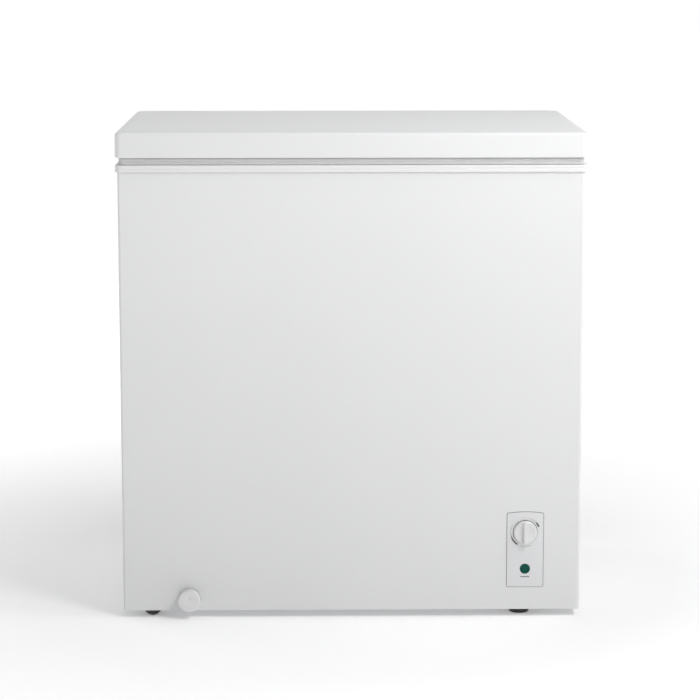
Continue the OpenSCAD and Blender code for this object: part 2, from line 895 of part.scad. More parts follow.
module compressor_pump() {
    leg = pump_w / 2 - leg_in;
    color("slategray") translate([bay_mid, comp_y, can_z + can_t]) {
        for (sx = [-1, 1], sy = [-1, 1])
            translate([sx * leg, sy * leg, 0]) cylinder(h = leg_h, r = leg_r);
        translate([0, 0, leg_h + crank_h / 2]) cube([pump_w, pump_w, crank_h], center = true);
        translate([0, 0, leg_h + crank_h]) cylinder(h = motor_h, r = motor_r);
        along_x(0, bore_z, 0, head_x, bore_r);
        translate([head_x - head_t / 2, 0, bore_z]) cube([head_t, head_w, head_w], center = true);
    }
}

module compressor_grommets() {
    color("#303030") for (p = mount_places()) translate([p[0], p[1], 0]) difference() {
        union() {
            translate([0, 0, tray_z + tray_t]) cylinder(h = mount_h, r = mount_r);
            translate([0, 0, can_z]) cylinder(h = foot_bar_t, r = mount_r - 3);
            translate([0, 0, can_z + foot_bar_t]) cylinder(h = grommet_cap, r = mount_r - 1);
        }
        translate([0, 0, tray_z]) cylinder(h = mount_h + 20, r = bolt_r);
    }
}

module compressor_bolts() {
    head_z = can_z + foot_bar_t + grommet_cap;
    color("silver") for (p = mount_places()) translate([p[0], p[1], 0]) {
        translate([0, 0, tray_z]) cylinder(h = head_z - tray_z, r = bolt_r);
        translate([0, 0, head_z]) cylinder(h = washer_t, r = mount_r - 2);
        translate([0, 0, head_z + washer_t]) cylinder(h = bolt_head_h, r = bolt_r + 2.5, $fn = 6);
    }
}

module relay_box() {
    front = comp_y - can_r - relay_d;
    z0 = can_z + relay_up;
    z1 = z0 + relay_h;
    half = relay_w / 2;
    rim = relay_lid;
    in = relay_wall;
    color("black") difference() {
        union() {
            block([bay_mid - half, front, z0], [bay_mid + half, comp_y - can_r + 12, z1]);
            block([bay_mid - half - rim, front - rim, z0 - rim], [bay_mid + half + rim, front, z1 + rim]);
        }
        can(-slack, can_z, can_z + can_h);
        block([bay_mid - half + in, front + in, z0 + in],
            [bay_mid + half - in, front + relay_d / 2, z1 - in]);
    }
}

module suction_tube() {
    z = can_z + can_h - 40;
    x = evap_out[0];
    color("peru") difference() {
        pipe([evap_out, [x, evap_out[1], z], [x, comp_y + can_r - 14, z]], evap_r);
        can_cut();
    }
}

module discharge_tube() {
    z = can_z + can_h - 60;
    x = cond_in[0];
    color("peru") difference() {
        pipe([cond_in, [x, cond_in[1], tube_end - 10], [x, comp_y + can_r + 14, z + 30],
            [x, comp_y + can_r + 14, z], [x - 12, comp_y + can_r - 34, z]], cond_r);
        can_cut();
    }
}

module process_tube() {
    z = can_z + can_h - 50;
    x = bay_mid - can_r - 13;
    color("peru") difference() {
        pipe([[bay_mid - can_r + 4, comp_y, z], [x, comp_y, z], [x, comp_y, z + 34]], cond_r);
        can_cut();
    }
}

module filter_drier() {
    x = cond_out[0];
    y = cond_out[1] - drier_back;
    color("peru") {
        translate([x, y, tube_end - drier_l - drier_drop]) rotate_extrude() {
            square([3, drier_l]);
            translate([0, 8]) square([drier_r, drier_l - 16]);
        }
        pipe([cond_out, [x, cond_out[1], tube_end - 6], [x, y, tube_end - 15],
            [x, y, tube_end - drier_drop - 2]], cond_r);
    }
}

module capillary_tube() {
    y = cond_out[1] - drier_back;
    z = tube_end - drier_l - drier_drop;
    color("peru") pipe([[cond_out[0], y, z], [cond_out[0], y, z - 14], [evap_in[0], y, z - 14],
        [evap_in[0], evap_in[1], z + 6], evap_in], 1);
}

// a wire between two faces: it leaves the first along u and meets the second against v
module wire(from, u, between, to, v) {
    ends = [from, from + 4 * u, from + 12 * u];
    far = [to + 12 * v, to + 4 * v, to];
    wire_sweep(spline(concat(ends, between, far), 4), wire_r, 6);
}

module wiring_harness() {
    x = bay_x + 14;
    z = can_z + 26;
    gap = 3 * wire_r;
    relay = [bay_mid - relay_w / 2, comp_y - can_r - relay_d / 2, z];
    rise = [0, 0, gap];
    bend_y = thermo_y + 90;
    color("#404040") {
        // thermostat to relay
        wire([ctrl_x - 12, thermo_y + thermo_d, knob_z - 14], [0, 1, 0],
            [[x, bend_y, z + 2 * gap], [x, relay[1] - 40, z + gap]], relay + rise, [-1, 0, 0]);
        // lamp to relay
        wire([ctrl_x, thermo_y + lamp_l, lamp_z], [0, 1, 0],
            [[x, bend_y, z - gap], [x, relay[1] - 40, z]], relay, [-1, 0, 0]);
        // relay to the supply gland
        wire(relay + 2 * rise, [-1, 0, 0], [[x - 2, relay[1] + 36, z + 2 * gap],
            [x - 2, comp_y + 60, z + 2 * gap]], [gland_x, body_y - 8, gland_z], [0, -1, 0]);
    }
}

module cord_gland() {
    color("#202020") difference() {
        union() {
            along_y(gland_x, gland_z, body_y - 8, body_y + cover_t, gland_r);
            along_y(gland_x, gland_z, body_y + cover_t, body_y + cover_t + 3, gland_r + 3);
            translate([gland_x, body_y + cover_t + 3, gland_z]) rotate([-90, 0, 0])
                cylinder(h = 9, r1 = gland_r, r2 = gland_r - 2);
        }
        along_y(gland_x, gland_z, body_y - 6, body_y + cover_t + 13, gland_bore);
    }
}

function cover_box() = [[bay_x - cover_lap, z_base + 3],
    [body_x - fold_w + cover_lap, z_bay + cover_lap]];

function cover_screw_places(side) =
    let (lo = cover_box()[0], hi = cover_box()[1], h = cover_lap / 2)
    side == "panel"
        ? [[lo[0] + h, lo[1] + cover_screw_in], [lo[0] + h, hi[1] - cover_screw_in],
            [(lo[0] + hi[0]) / 2, hi[1] - h]]
        : [[hi[0] - h, lo[1] + cover_screw_in], [hi[0] - h, hi[1] - cover_screw_in]];

module cover_screw_holes(side, y0, y1) {
    for (p = cover_screw_places(side)) along_y(p[0], p[1], y0, y1, hinge_screw_r);
}

module rear_cover() {
    lo = cover_box()[0];
    hi = cover_box()[1];
    color("gainsboro") difference() {
        block([lo[0], body_y, lo[1]], [hi[0], body_y + cover_t, hi[1]]);
        for (row = [0:vent_rows - 1], col = [0:vent_cols - 1]) {
            x = bay_mid - 8 + (col - (vent_cols - 1) / 2) * (vent_w + vent_gap);
            z = z_base + vent_up + row * vent_step;
            block([x - vent_w / 2, body_y - eps, z], [x + vent_w / 2, body_y + 5, z + vent_h]);
        }
        along_y(gland_x, gland_z, body_y - eps, body_y + cover_t + eps, gland_r);
        for (side = ["panel", "shell"])
            cover_screw_holes(side, body_y - eps, body_y + cover_t + eps);
    }
}

module cover_screws() {
    face = body_y + cover_t;
    color("silver") for (side = ["panel", "shell"], p = cover_screw_places(side)) {
        along_y(p[0], p[1], in_y - hinge_screw_l, face, hinge_screw_r);
        along_y(p[0], p[1], face, face + hinge_screw_head_h, hinge_screw_head);
    }
}

function foot_places() = [for (sy = [-1, 1]) [foot_x, sy * foot_y]];

module base_screws() {
    color("silver") {
        for (p = concat(tray_screw_places("base"), tray_screw_places("shell")))
            translate([p[0], p[1], z_base]) {
                cylinder(h = screw_l, r = screw_r);
                translate([0, 0, -screw_head_h]) cylinder(h = screw_head_h, r = screw_head_r);
            }
        for (p = foot_places()) translate([p[0], p[1], 0]) {
            translate([0, 0, foot_recess]) {
                cylinder(h = z_base + screw_l - foot_recess, r = screw_r);
                cylinder(h = screw_head_h, r = screw_head_r);
            }
        }
    }
}

// ---------- feet and rollers ----------

module foot(sy) {
    color("#282828") translate([foot_x, sy * foot_y, 0]) difference() {
        cylinder(h = tray_z, r1 = foot_r - foot_taper, r2 = foot_r);
        translate([0, 0, -eps])
            cylinder(h = foot_recess + screw_head_h + eps, r = screw_head_r + eps);
        cylinder(h = tray_z + eps, r = screw_r);
    }
}

// the space of a roller housing, grown by g
module house_block(y, g, z0) {
    half_x = roller_r + house_gap + g;
    half_y = roller_w / 2 + house_side + g;
    block([-roller_x - half_x, y - half_y, z0], [-roller_x + half_x, y + half_y, house_h + g]);
}

module house_flange(y) {
    half_x = roller_r + house_gap + house_lip[0];
    half_y = roller_w / 2 + house_side + house_lip[1];
    block([-roller_x - half_x, y - half_y, z_base + sheet],
        [-roller_x + half_x, y + half_y, z_base + sheet + house_t]);
}

module roller_housing(y) {
    color("silver") difference() {
        union() {
            difference() {
                house_block(y, house_t, house_z);
                house_block(y, 0, house_z - eps);
            }
            difference() {
                house_flange(y);
                house_block(y, 0, house_z - eps);
            }
        }
        roller_axle_shape(y);
    }
}

module roller_axle_shape(y) {
    half = roller_w / 2 + house_side + house_t;
    along_y(-roller_x, roller_r, y - half, y + half, axle_r);
}

module roller_axle(y) {
    color("silver") roller_axle_shape(y);
}

module roller(y) {
    color("#505050") translate([-roller_x, y, roller_r]) rotate([-90, 0, 0]) rotate_extrude()
        difference() {
            translate([0, -roller_w / 2]) square([roller_r, roller_w]);
            translate([0, -roller_w / 2 - eps]) square([axle_r + run_gap, roller_w + 2 * eps]);
            for (s = [-1, 1]) translate([(roller_r + axle_r) / 2 + 1, s * roller_w / 2])
                circle(roller_groove);
        }
}

// ---------- hinges ----------

function hinge_screw_places() = [for (s = [-1, 1], dx = [-18, 18], dz = [12, 34])
    [s * hinge_x + dx, z_shell - hinge_plate_h + dz]];

function lid_screw_places() = [for (s = [-1, 1], dx = [-20, 20])
    [s * hinge_x + dx, (arm_z0 + arm_z1) / 2 + 4]];

module hinge_base(s) {
    x = s * hinge_x;
    y0 = body_y;
    y1 = body_y + hinge_plate_t;
    z0 = z_shell - hinge_plate_h;
    z_top = z_shell - hinge_drop;
    clear_y = overall_d / 2 + 0.6;
    color("white") difference() {
        union() {
            block([x - hinge_plate_w / 2, y0, z0], [x + hinge_plate_w / 2, y1, z_top]);
            for (side = [-1, 1]) {
                ear_x = side > 0 ? x + hinge_in / 2 : x - hinge_in / 2 - ear_t;
                translate([ear_x, 0, 0]) rotate([90, 0, 90]) linear_extrude(ear_t) {
                    polygon([[y1 - eps, z0], [y1 - eps, z_top], [clear_y, z_top],
                        [clear_y, pin_z], [pin_y + ear_boss, pin_z],
                        [pin_y + ear_boss, z_shell - 30], [y1 + 6, z0]]);
                    translate([pin_y, pin_z]) circle(ear_boss);
                }
            }
        }
        along_x(pin_y, pin_z, x - hinge_in, x + hinge_in, pin_r);
        for (p = hinge_screw_places()) along_y(p[0], p[1], y0 - eps, y1 + eps, hinge_screw_r);
    }
}

module hinge_arm(s) {
    x = s * hinge_x;
    y0 = overall_d / 2;
    y1 = y0 + hinge_plate_t;
    color("white") difference() {
        union() {
            block([x - hinge_plate_w / 2, y0, arm_z0], [x + hinge_plate_w / 2, y1, arm_z1]);
            translate([x - knuckle_l / 2, 0, 0]) rotate([90, 0, 90]) linear_extrude(knuckle_l) {
                translate([pin_y, pin_z]) circle(knuckle_r);
                polygon([[y0, arm_z0], [y0, arm_z0 + 14], [y1 + 2, arm_z0 + 14],
                    [pin_y + knuckle_r, pin_z + 2], [pin_y - knuckle_r, pin_z + 1]]);
            }
        }
        along_x(pin_y, pin_z, x - hinge_in, x + hinge_in, pin_r + run_gap);
        for (p = lid_screw_places()) along_y(p[0], p[1], y0 - eps, y1 + eps, hinge_screw_r);
    }
}

module hinge_pin(s) {
    x = s * hinge_x;
    half = hinge_in / 2 + ear_t;
    color("silver") {
        along_x(pin_y, pin_z, x - half, x + half, pin_r);
        along_x(pin_y, pin_z, x - half - 2, x - half, pin_r + 2);
        along_x(pin_y, pin_z, x + half, x + half + 2, pin_r + 2);
    }
}

// a coil spring around the pin, with one leg down to the cabinet and one up to the lid's arm
function spring_path(side) =
    let (steps = 12, pitch = 2 * spring_wire + 0.2, start = knuckle_l / 2 + spring_wire + 1,
        count = spring_coils * steps)
    concat([[side * start, -spring_r, spring_leg[0]]],
        [for (i = [0:count]) let (a = 360 * i / steps)
            [side * (start + pitch * i / steps), -spring_r * cos(a), -spring_r * sin(a)]],
        [[side * (start + pitch * spring_coils), -spring_r, spring_leg[1]]]);

module hinge_springs() {
    color("dimgray") for (s = [-1, 1], side = [-1, 1])
        translate([s * hinge_x, pin_y, pin_z]) wire_sweep(spring_path(side), spring_wire, 5);
}

module hinge_screws() {
    face = body_y + hinge_plate_t;
    color("silver") for (p = hinge_screw_places()) {
        along_y(p[0], p[1], in_y - hinge_screw_l, face, hinge_screw_r);
        along_y(p[0], p[1], face, face + hinge_screw_head_h, hinge_screw_head);
    }
}

module lid_screws() {
    face = overall_d / 2 + hinge_plate_t;
    color("silver") for (p = lid_screw_places()) {
        along_y(p[0], p[1], overall_d / 2 - lid_screw_l, face, hinge_screw_r);
        along_y(p[0], p[1], face, face + hinge_screw_head_h, hinge_screw_head);
    }
}

// ---------- lid ----------

// a slab with rounded top edges and corners
module lid_slab(w, d, r, z0, z1) {
    rslab(w, d, r, z0, z1 - r);
    rslab(w - 2 * r, d - 2 * r, r / 2, z1 - 2 * r, z1);
    for (s = [-1, 1]) {
        along_x(s * (d / 2 - r), z1 - r, r - w / 2, w / 2 - r, r);
        along_y(s * (w / 2 - r), z1 - r, r - d / 2, d / 2 - r, r);
    }
    for (sx = [-1, 1], sy = [-1, 1])
        translate([sx * (w / 2 - r), sy * (d / 2 - r), z1 - r]) sphere(r);
}

module lid_screw_holes() {
    for (p = lid_screw_places())
        along_y(p[0], p[1], overall_d / 2 - lid_screw_l, overall_d / 2 + eps, hinge_screw_r);
}

module lid_skin() {
    color("white") difference() {
        lid_slab(overall_w, overall_d, lid_r, z_lid, overall_h);
        lid_slab(overall_w - 2 * sheet, overall_d - 2 * sheet, lid_r - sheet,
            z_lid + sheet, overall_h - sheet);
        rslab(overall_w - 2 * lid_fold, overall_d - 2 * lid_fold, 1, z_lid - eps, z_lid + sheet + eps);
        lid_screw_holes();
    }
}

module lid_liner() {
    z0 = z_lid + sheet;
    color("whitesmoke") difference() {
        union() {
            rslab(overall_w - 2 * sheet, overall_d - 2 * sheet, lid_r - sheet, z0, z0 + panel_t);
            rslab(2 * plug_x, 2 * plug_y, liner_r, plug_z, z0 + panel_t);
        }
        rslab(2 * (plug_x - panel_t), 2 * (plug_y - panel_t), liner_r - panel_t,
            plug_z + panel_t, z0 + panel_t + eps);
    }
}

module lid_foam() {
    z0 = z_lid + sheet + panel_t;
    color("khaki") difference() {
        union() {
            lid_slab(overall_w - 2 * sheet, overall_d - 2 * sheet, lid_r - sheet,
                z0, overall_h - sheet);
            rslab(2 * (plug_x - panel_t), 2 * (plug_y - panel_t), liner_r - panel_t,
                plug_z + panel_t, z0);
        }
        lid_screw_holes();
    }
}

module lid_gasket() {
    inner_x = gasket_x - gasket_w;
    inner_y = gasket_y - gasket_w;
    z_neck = z_rim + gasket_foot_h;
    top = z_lid + sheet;
    color("lightgray") {
        difference() {
            rslab(2 * gasket_x, 2 * gasket_y, 4, z_rim, z_neck);
            rslab(2 * inner_x, 2 * inner_y, 2, z_rim - eps, z_neck + eps);
        }
        difference() {
            rslab(2 * (gasket_x - gasket_neck), 2 * (gasket_y - gasket_neck), 3, z_neck, top);
            rslab(2 * (inner_x + gasket_neck), 2 * (inner_y + gasket_neck), 2,
                z_neck - eps, top + eps);
        }
    }
}

// ---------- basket ----------

module basket() {
    half = basket_w / 2;
    top = z_shell + basket_rim_h;
    row_h = (z_shell - basket_z - wire_d) / basket_rows;
    col_w = (basket_w - wire_d) / basket_cols;
    side_w = (2 * basket_y - wire_d) / basket_side_cols;
    color("white") translate([basket_x, 0, 0]) difference() {
        union() {
            rslab(basket_w, 2 * basket_y, basket_r, basket_z, top);
            block([hook_end - half, -basket_hang, z_shell], [half - hook_end, basket_hang, top]);
        }
        rslab(basket_w - 2 * wire_d, 2 * (basket_y - wire_d), basket_r - wire_d,
            basket_z + wire_d, top + eps);
        for (c = [0:basket_cols - 1], r = [0:basket_rows - 1])
            translate([wire_d - half + c * col_w, -basket_hang, basket_z + wire_d + r * row_h])
                cube([col_w - wire_d, 2 * basket_hang, row_h - wire_d]);
        for (c = [0:basket_side_cols - 1], r = [0:basket_rows - 1])
            translate([-half - eps, wire_d - basket_y + c * side_w,
                basket_z + wire_d + r * row_h])
                cube([basket_w + 2 * eps, side_w - wire_d, row_h - wire_d]);
        for (c = [0:basket_cols - 1], s = [-1, 0])
            translate([wire_d - half + c * col_w, s * basket_y + wire_d / 2 - s * wire_d / 2,
                basket_z - eps])
                cube([col_w - wire_d, basket_y - 1.5 * wire_d, wire_d + 2 * eps]);
    }
}

outer_shell();
rear_panel();
base_panel();
rim_collar();
inner_liner();
foam_body();
evaporator_coil();
condenser_coil();
drain_pipe();
drain_bush();
drain_dial();
drain_o_ring();
drain_plug();
control_panel();
thermostat_knob();
thermostat_spindle();
thermostat_body();
indicator_lens();
lamp_holder();
sensor_tube();
compressor_tray();
compressor_lower_shell();
compressor_upper_shell();
compressor_pump();
compressor_grommets();
compressor_bolts();
relay_box();
discharge_tube();
suction_tube();
process_tube();
filter_drier();
capillary_tube();
wiring_harness();
cord_gland();
rear_cover();
cover_screws();
base_screws();
roller_housing(roller_y);  // roller_housing_front
roller_housing(-roller_y);  // roller_housing_rear
roller(roller_y);  // roller_front
roller(-roller_y);  // roller_rear
roller_axle(roller_y);  // roller_axle_front
roller_axle(-roller_y);  // roller_axle_rear
foot(1);  // foot_front_right
foot(-1);  // foot_rear_right
hinge_base(-1);  // hinge_base_left
hinge_base(1);  // hinge_base_right
hinge_arm(-1);  // hinge_arm_left
hinge_arm(1);  // hinge_arm_right
hinge_pin(-1);  // hinge_pin_left
hinge_pin(1);  // hinge_pin_right
hinge_springs();
hinge_screws();
lid_skin();
lid_liner();
lid_foam();
lid_gasket();
lid_screws();
basket();
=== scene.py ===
"""Looks of the chest freezer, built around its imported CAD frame. All lengths are in metres."""
import json
import math

import bmesh
import bpy
from mathutils import Matrix, Vector

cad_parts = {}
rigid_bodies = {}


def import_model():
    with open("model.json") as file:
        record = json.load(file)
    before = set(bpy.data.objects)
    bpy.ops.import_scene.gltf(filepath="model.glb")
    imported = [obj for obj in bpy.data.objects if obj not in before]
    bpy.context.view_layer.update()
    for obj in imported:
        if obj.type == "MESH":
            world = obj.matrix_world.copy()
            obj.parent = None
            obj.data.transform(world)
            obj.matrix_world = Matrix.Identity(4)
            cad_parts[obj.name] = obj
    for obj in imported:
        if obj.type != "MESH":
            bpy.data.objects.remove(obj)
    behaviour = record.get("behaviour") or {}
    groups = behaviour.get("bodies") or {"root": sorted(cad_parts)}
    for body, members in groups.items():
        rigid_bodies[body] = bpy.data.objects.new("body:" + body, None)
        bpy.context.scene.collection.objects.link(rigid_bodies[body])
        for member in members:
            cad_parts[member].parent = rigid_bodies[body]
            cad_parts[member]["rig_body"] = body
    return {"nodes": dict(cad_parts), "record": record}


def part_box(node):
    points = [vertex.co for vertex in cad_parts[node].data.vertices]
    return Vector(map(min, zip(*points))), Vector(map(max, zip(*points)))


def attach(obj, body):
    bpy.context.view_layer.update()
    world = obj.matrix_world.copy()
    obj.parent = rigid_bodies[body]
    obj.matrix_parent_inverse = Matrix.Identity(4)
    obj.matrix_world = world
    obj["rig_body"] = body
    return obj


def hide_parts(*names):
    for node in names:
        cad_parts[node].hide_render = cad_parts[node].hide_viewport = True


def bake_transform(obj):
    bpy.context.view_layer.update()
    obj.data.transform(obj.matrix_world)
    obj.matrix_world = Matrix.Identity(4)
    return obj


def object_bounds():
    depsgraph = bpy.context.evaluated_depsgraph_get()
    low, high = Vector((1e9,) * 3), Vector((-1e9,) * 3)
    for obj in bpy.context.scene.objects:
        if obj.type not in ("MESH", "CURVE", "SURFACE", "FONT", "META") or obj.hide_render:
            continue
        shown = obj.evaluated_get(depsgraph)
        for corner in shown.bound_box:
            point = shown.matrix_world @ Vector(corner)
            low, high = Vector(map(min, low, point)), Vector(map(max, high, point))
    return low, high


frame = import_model()
CAD_LOW, CAD_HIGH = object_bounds()
MM = 0.001

# Two points closer than this are one point.
WELD = 1e-6
CAD_WELD = 2e-6

# Edges sharper than these shade as sharp, or are rounded; facets flatter than the last are merged.
SMOOTH_ANGLE = math.radians(34)
SOFT_ANGLE = math.radians(32)
FLAT_ANGLE = math.radians(0.6)

# How far the panel's plate stands out of the body, and where both are.
PANEL_PROUD = 0.9 * MM
BODY_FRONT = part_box("outer_shell")[0].y
PANEL_FACE = BODY_FRONT - PANEL_PROUD


# ---------- camera ----------

FRAME_PIXELS = 700
SENSOR = 36.0
FOCAL_PIXELS = 2361.0
CAMERA_X = -0.058
CAMERA_AWAY = 4.0
CAMERA_HEIGHT = 1.175
CAMERA_DOWN = 9.07
CAMERA_YAW = -0.79
CAMERA_SHIFT = -0.05
CAMERA_REACH = 100


def link_object(name, data):
    """A new object of the scene that holds this mesh, light or camera."""
    thing = bpy.data.objects.new(name, data)
    bpy.context.scene.collection.objects.link(thing)
    return thing


def make_camera():
    """Just above the lid and a little left of the middle, looking slightly down."""
    data = bpy.data.cameras.new("camera")
    camera = link_object("camera", data)
    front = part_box("lid_skin")[0].y
    camera.location = (CAMERA_X, front - CAMERA_AWAY, CAMERA_HEIGHT)
    camera.rotation_euler = (math.radians(90 - CAMERA_DOWN), 0, math.radians(CAMERA_YAW))
    data.sensor_width = SENSOR
    data.lens = FOCAL_PIXELS * SENSOR / FRAME_PIXELS
    data.shift_y = CAMERA_SHIFT
    data.clip_end = CAMERA_REACH
    bpy.context.scene.camera = camera


# ---------- materials ----------

class Nodes:
    """A material's node tree, with a short way to add and join nodes."""

    def __init__(self, name):
        self.name = name
        self.material = bpy.data.materials.new(name)
        self.material.use_nodes = True
        self.tree = self.material.node_tree
        self.shader = self.tree.nodes["Principled BSDF"]

    def add(self, kind, **settings):
        """A node, with its own settings and the values of its inputs."""
        node = self.tree.nodes.new(kind)
        for key, value in settings.items():
            if hasattr(node, key):
                setattr(node, key, value)
            else:
                node.inputs[key].default_value = value
        return node

    def join(self, out, socket):
        self.tree.links.new(out, socket)

    def place(self, stretch=(1, 1, 1)):
        """The point's place on the piece, stretched per axis."""
        where = self.add("ShaderNodeTexCoord")
        mapping = self.add("ShaderNodeMapping", Scale=stretch)
        self.join(where.outputs["Object"], mapping.inputs["Vector"])
        return mapping.outputs["Vector"]

    def noise(self, scale, detail=3.0, stretch=(1, 1, 1)):
        node = self.add("ShaderNodeTexNoise", Scale=scale, Detail=detail)
        self.join(self.place(stretch), node.inputs["Vector"])
        return node.outputs["Fac"]

    def cells(self, scale, feature="F1", stretch=(1, 1, 1)):
        node = self.add("ShaderNodeTexVoronoi", feature=feature, Scale=scale)
        self.join(self.place(stretch), node.inputs["Vector"])
        return node.outputs["Distance"]

    def span(self, fac, low, high, start=0.0, end=1.0):
        """A value that runs from low to high as fac runs from start to end."""
        node = self.add("ShaderNodeMapRange", **{"From Min": start, "From Max": end, "To Min": low,
                                                 "To Max": high})
        self.join(fac, node.inputs["Value"])
        return node.outputs["Result"]

    def bump(self, height, strength, depth, under=None):
        """A relief, laid over the one under it."""
        node = self.add("ShaderNodeBump", Strength=strength, Distance=depth)
        self.join(height, node.inputs["Height"])
        if under is not None:
            self.join(under, node.inputs["Normal"])
        return node.outputs["Normal"]

    def paint(self, fac, stops):
        """The surface's colour, by a ramp of (place, colour) stops."""
        node = self.add("ShaderNodeValToRGB")
        ramp = node.color_ramp
        while len(ramp.elements) < len(stops):
            ramp.elements.new(0.5)
        for element, (place, colour) in zip(ramp.elements, stops):
            element.position = place
            element.color = (*colour, 1)
        self.join(fac, node.inputs["Fac"])
        self.join(node.outputs["Color"], self.shader.inputs["Base Color"])

    def gloss(self, fac, low, high):
        """The surface's roughness, from low to high."""
        self.join(self.span(fac, low, high), self.shader.inputs["Roughness"])

    def relief(self, height, strength, depth, under=None):
        """The surface's relief."""
        self.join(self.bump(height, strength, depth, under), self.shader.inputs["Normal"])

    def give(self, values):
        """Values that are the same all over the surface."""
        for key, value in values.items():
            self.shader.inputs[key].default_value = value


def shade(colour, share):
    return tuple(c * share for c in colour)


def coating(name, colour, rough, grain, grain_depth, *, coat=0.0, spread=0.035, blotch=3.0,
            cells=False, streak=(1, 1, 1)):
    """A surface whose colour and gloss drift slowly over it, with grain bumps per metre."""
    n = Nodes(name)
    drift = n.noise(blotch, 4.0)
    n.paint(drift, [(0.3, shade(colour, 1 - spread)), (0.7, shade(colour, 1 + spread))])
    wipe = n.noise(blotch * 7, 5.0, streak)
    n.gloss(wipe, rough * 0.82, rough * 1.2)
    fine = n.cells(grain, "SMOOTH_F1", streak) if cells else n.noise(grain, 2.0, streak)
    n.relief(fine, 0.35, grain_depth)
    n.give({"Coat Weight": coat, "Coat Roughness": 0.12})
    return n


def scuffed(name, colour, rub, rough, grain, grain_depth, wear_scale=60.0):
    """A dark moulded or rubber surface with dusty, rubbed patches."""
    n = Nodes(name)
    patch = n.noise(wear_scale, 6.0)
    n.paint(patch, [(0.42, colour), (0.6, shade(colour, 1.25)), (0.74, rub)])
    n.gloss(patch, rough * 0.85, rough * 1.25)
    n.relief(n.noise(grain), 0.4, grain_depth)
    return n


def metal(name, colour, dull, rough, streak, spangle=0.0):
    """Bare or plated metal: drawn streaks, and tarnish or the spangle of galvanised sheet."""
    n = Nodes(name)
    if spangle:
        n.paint(n.cells(spangle), [(0.1, dull), (0.75, colour)])
    else:
        n.paint(n.noise(35.0, 6.0), [(0.35, dull), (0.62, colour)])
    lines = n.noise(900.0, 3.0, streak)
    n.gloss(lines, rough * 0.75, rough * 1.3)
    n.relief(lines, 0.3, 0.03 * MM)
    n.give({"Metallic": 1.0})
    return n


def stucco_liner():
    """Embossed liner sheet: a pebbled relief under a pale satin coating."""
    n = Nodes("stucco_liner")
    drift = n.noise(4.0, 4.0)
    n.paint(drift, [(0.3, (0.70, 0.71, 0.72)), (0.7, (0.77, 0.775, 0.78))])
    pebbles = n.cells(260.0, "SMOOTH_F1")
    coarse = n.bump(pebbles, 0.55, 0.6 * MM)
    n.relief(n.noise(1500.0, 2.0), 0.2, 0.05 * MM, coarse)
    n.gloss(pebbles, 0.34, 0.5)
    return n


def gasket_vinyl():
    """Soft magnetic gasket: matte vinyl with a fine grain and a little handling dust."""
    n = Nodes("gasket_vinyl")
    dust = n.noise(25.0, 5.0)
    n.paint(dust, [(0.3, (0.6, 0.6, 0.605)), (0.75, (0.625, 0.625, 0.625))])
    n.gloss(dust, 0.5, 0.68)
    n.relief(n.noise(1800.0, 2.0), 0.2, 0.04 * MM)
    return n


def lens_green():
    """Dark green signal lens: clear gloss over a faintly prismatic inside."""
    n = Nodes("lens_green")
    prism = n.cells(700.0)
    n.paint(prism, [(0.0, (0.0004, 0.05, 0.034)), (0.8, (0.0006, 0.085, 0.058))])
    n.gloss(n.noise(120.0), 0.1, 0.2)
    n.relief(prism, 0.12, 0.2 * MM)
    n.give({"Specular IOR Level": 0.12, "Coat Weight": 0.06, "Coat Roughness": 0.05})
    return n


def foam_block():
    """Blown foam: pale yellow, rougher in its pores and darkened there by painted shade."""
    n = Nodes("foam")
    pores = n.cells(420.0)
    # Painted shade: the colour darkens towards the middle of each pore, where the relief sinks.
    n.paint(pores, [(0.05, (0.42, 0.35, 0.2)), (0.5, (0.72, 0.65, 0.43))])
    n.gloss(pores, 0.95, 0.8)
    n.relief(pores, 0.6, 0.8 * MM)
    return n


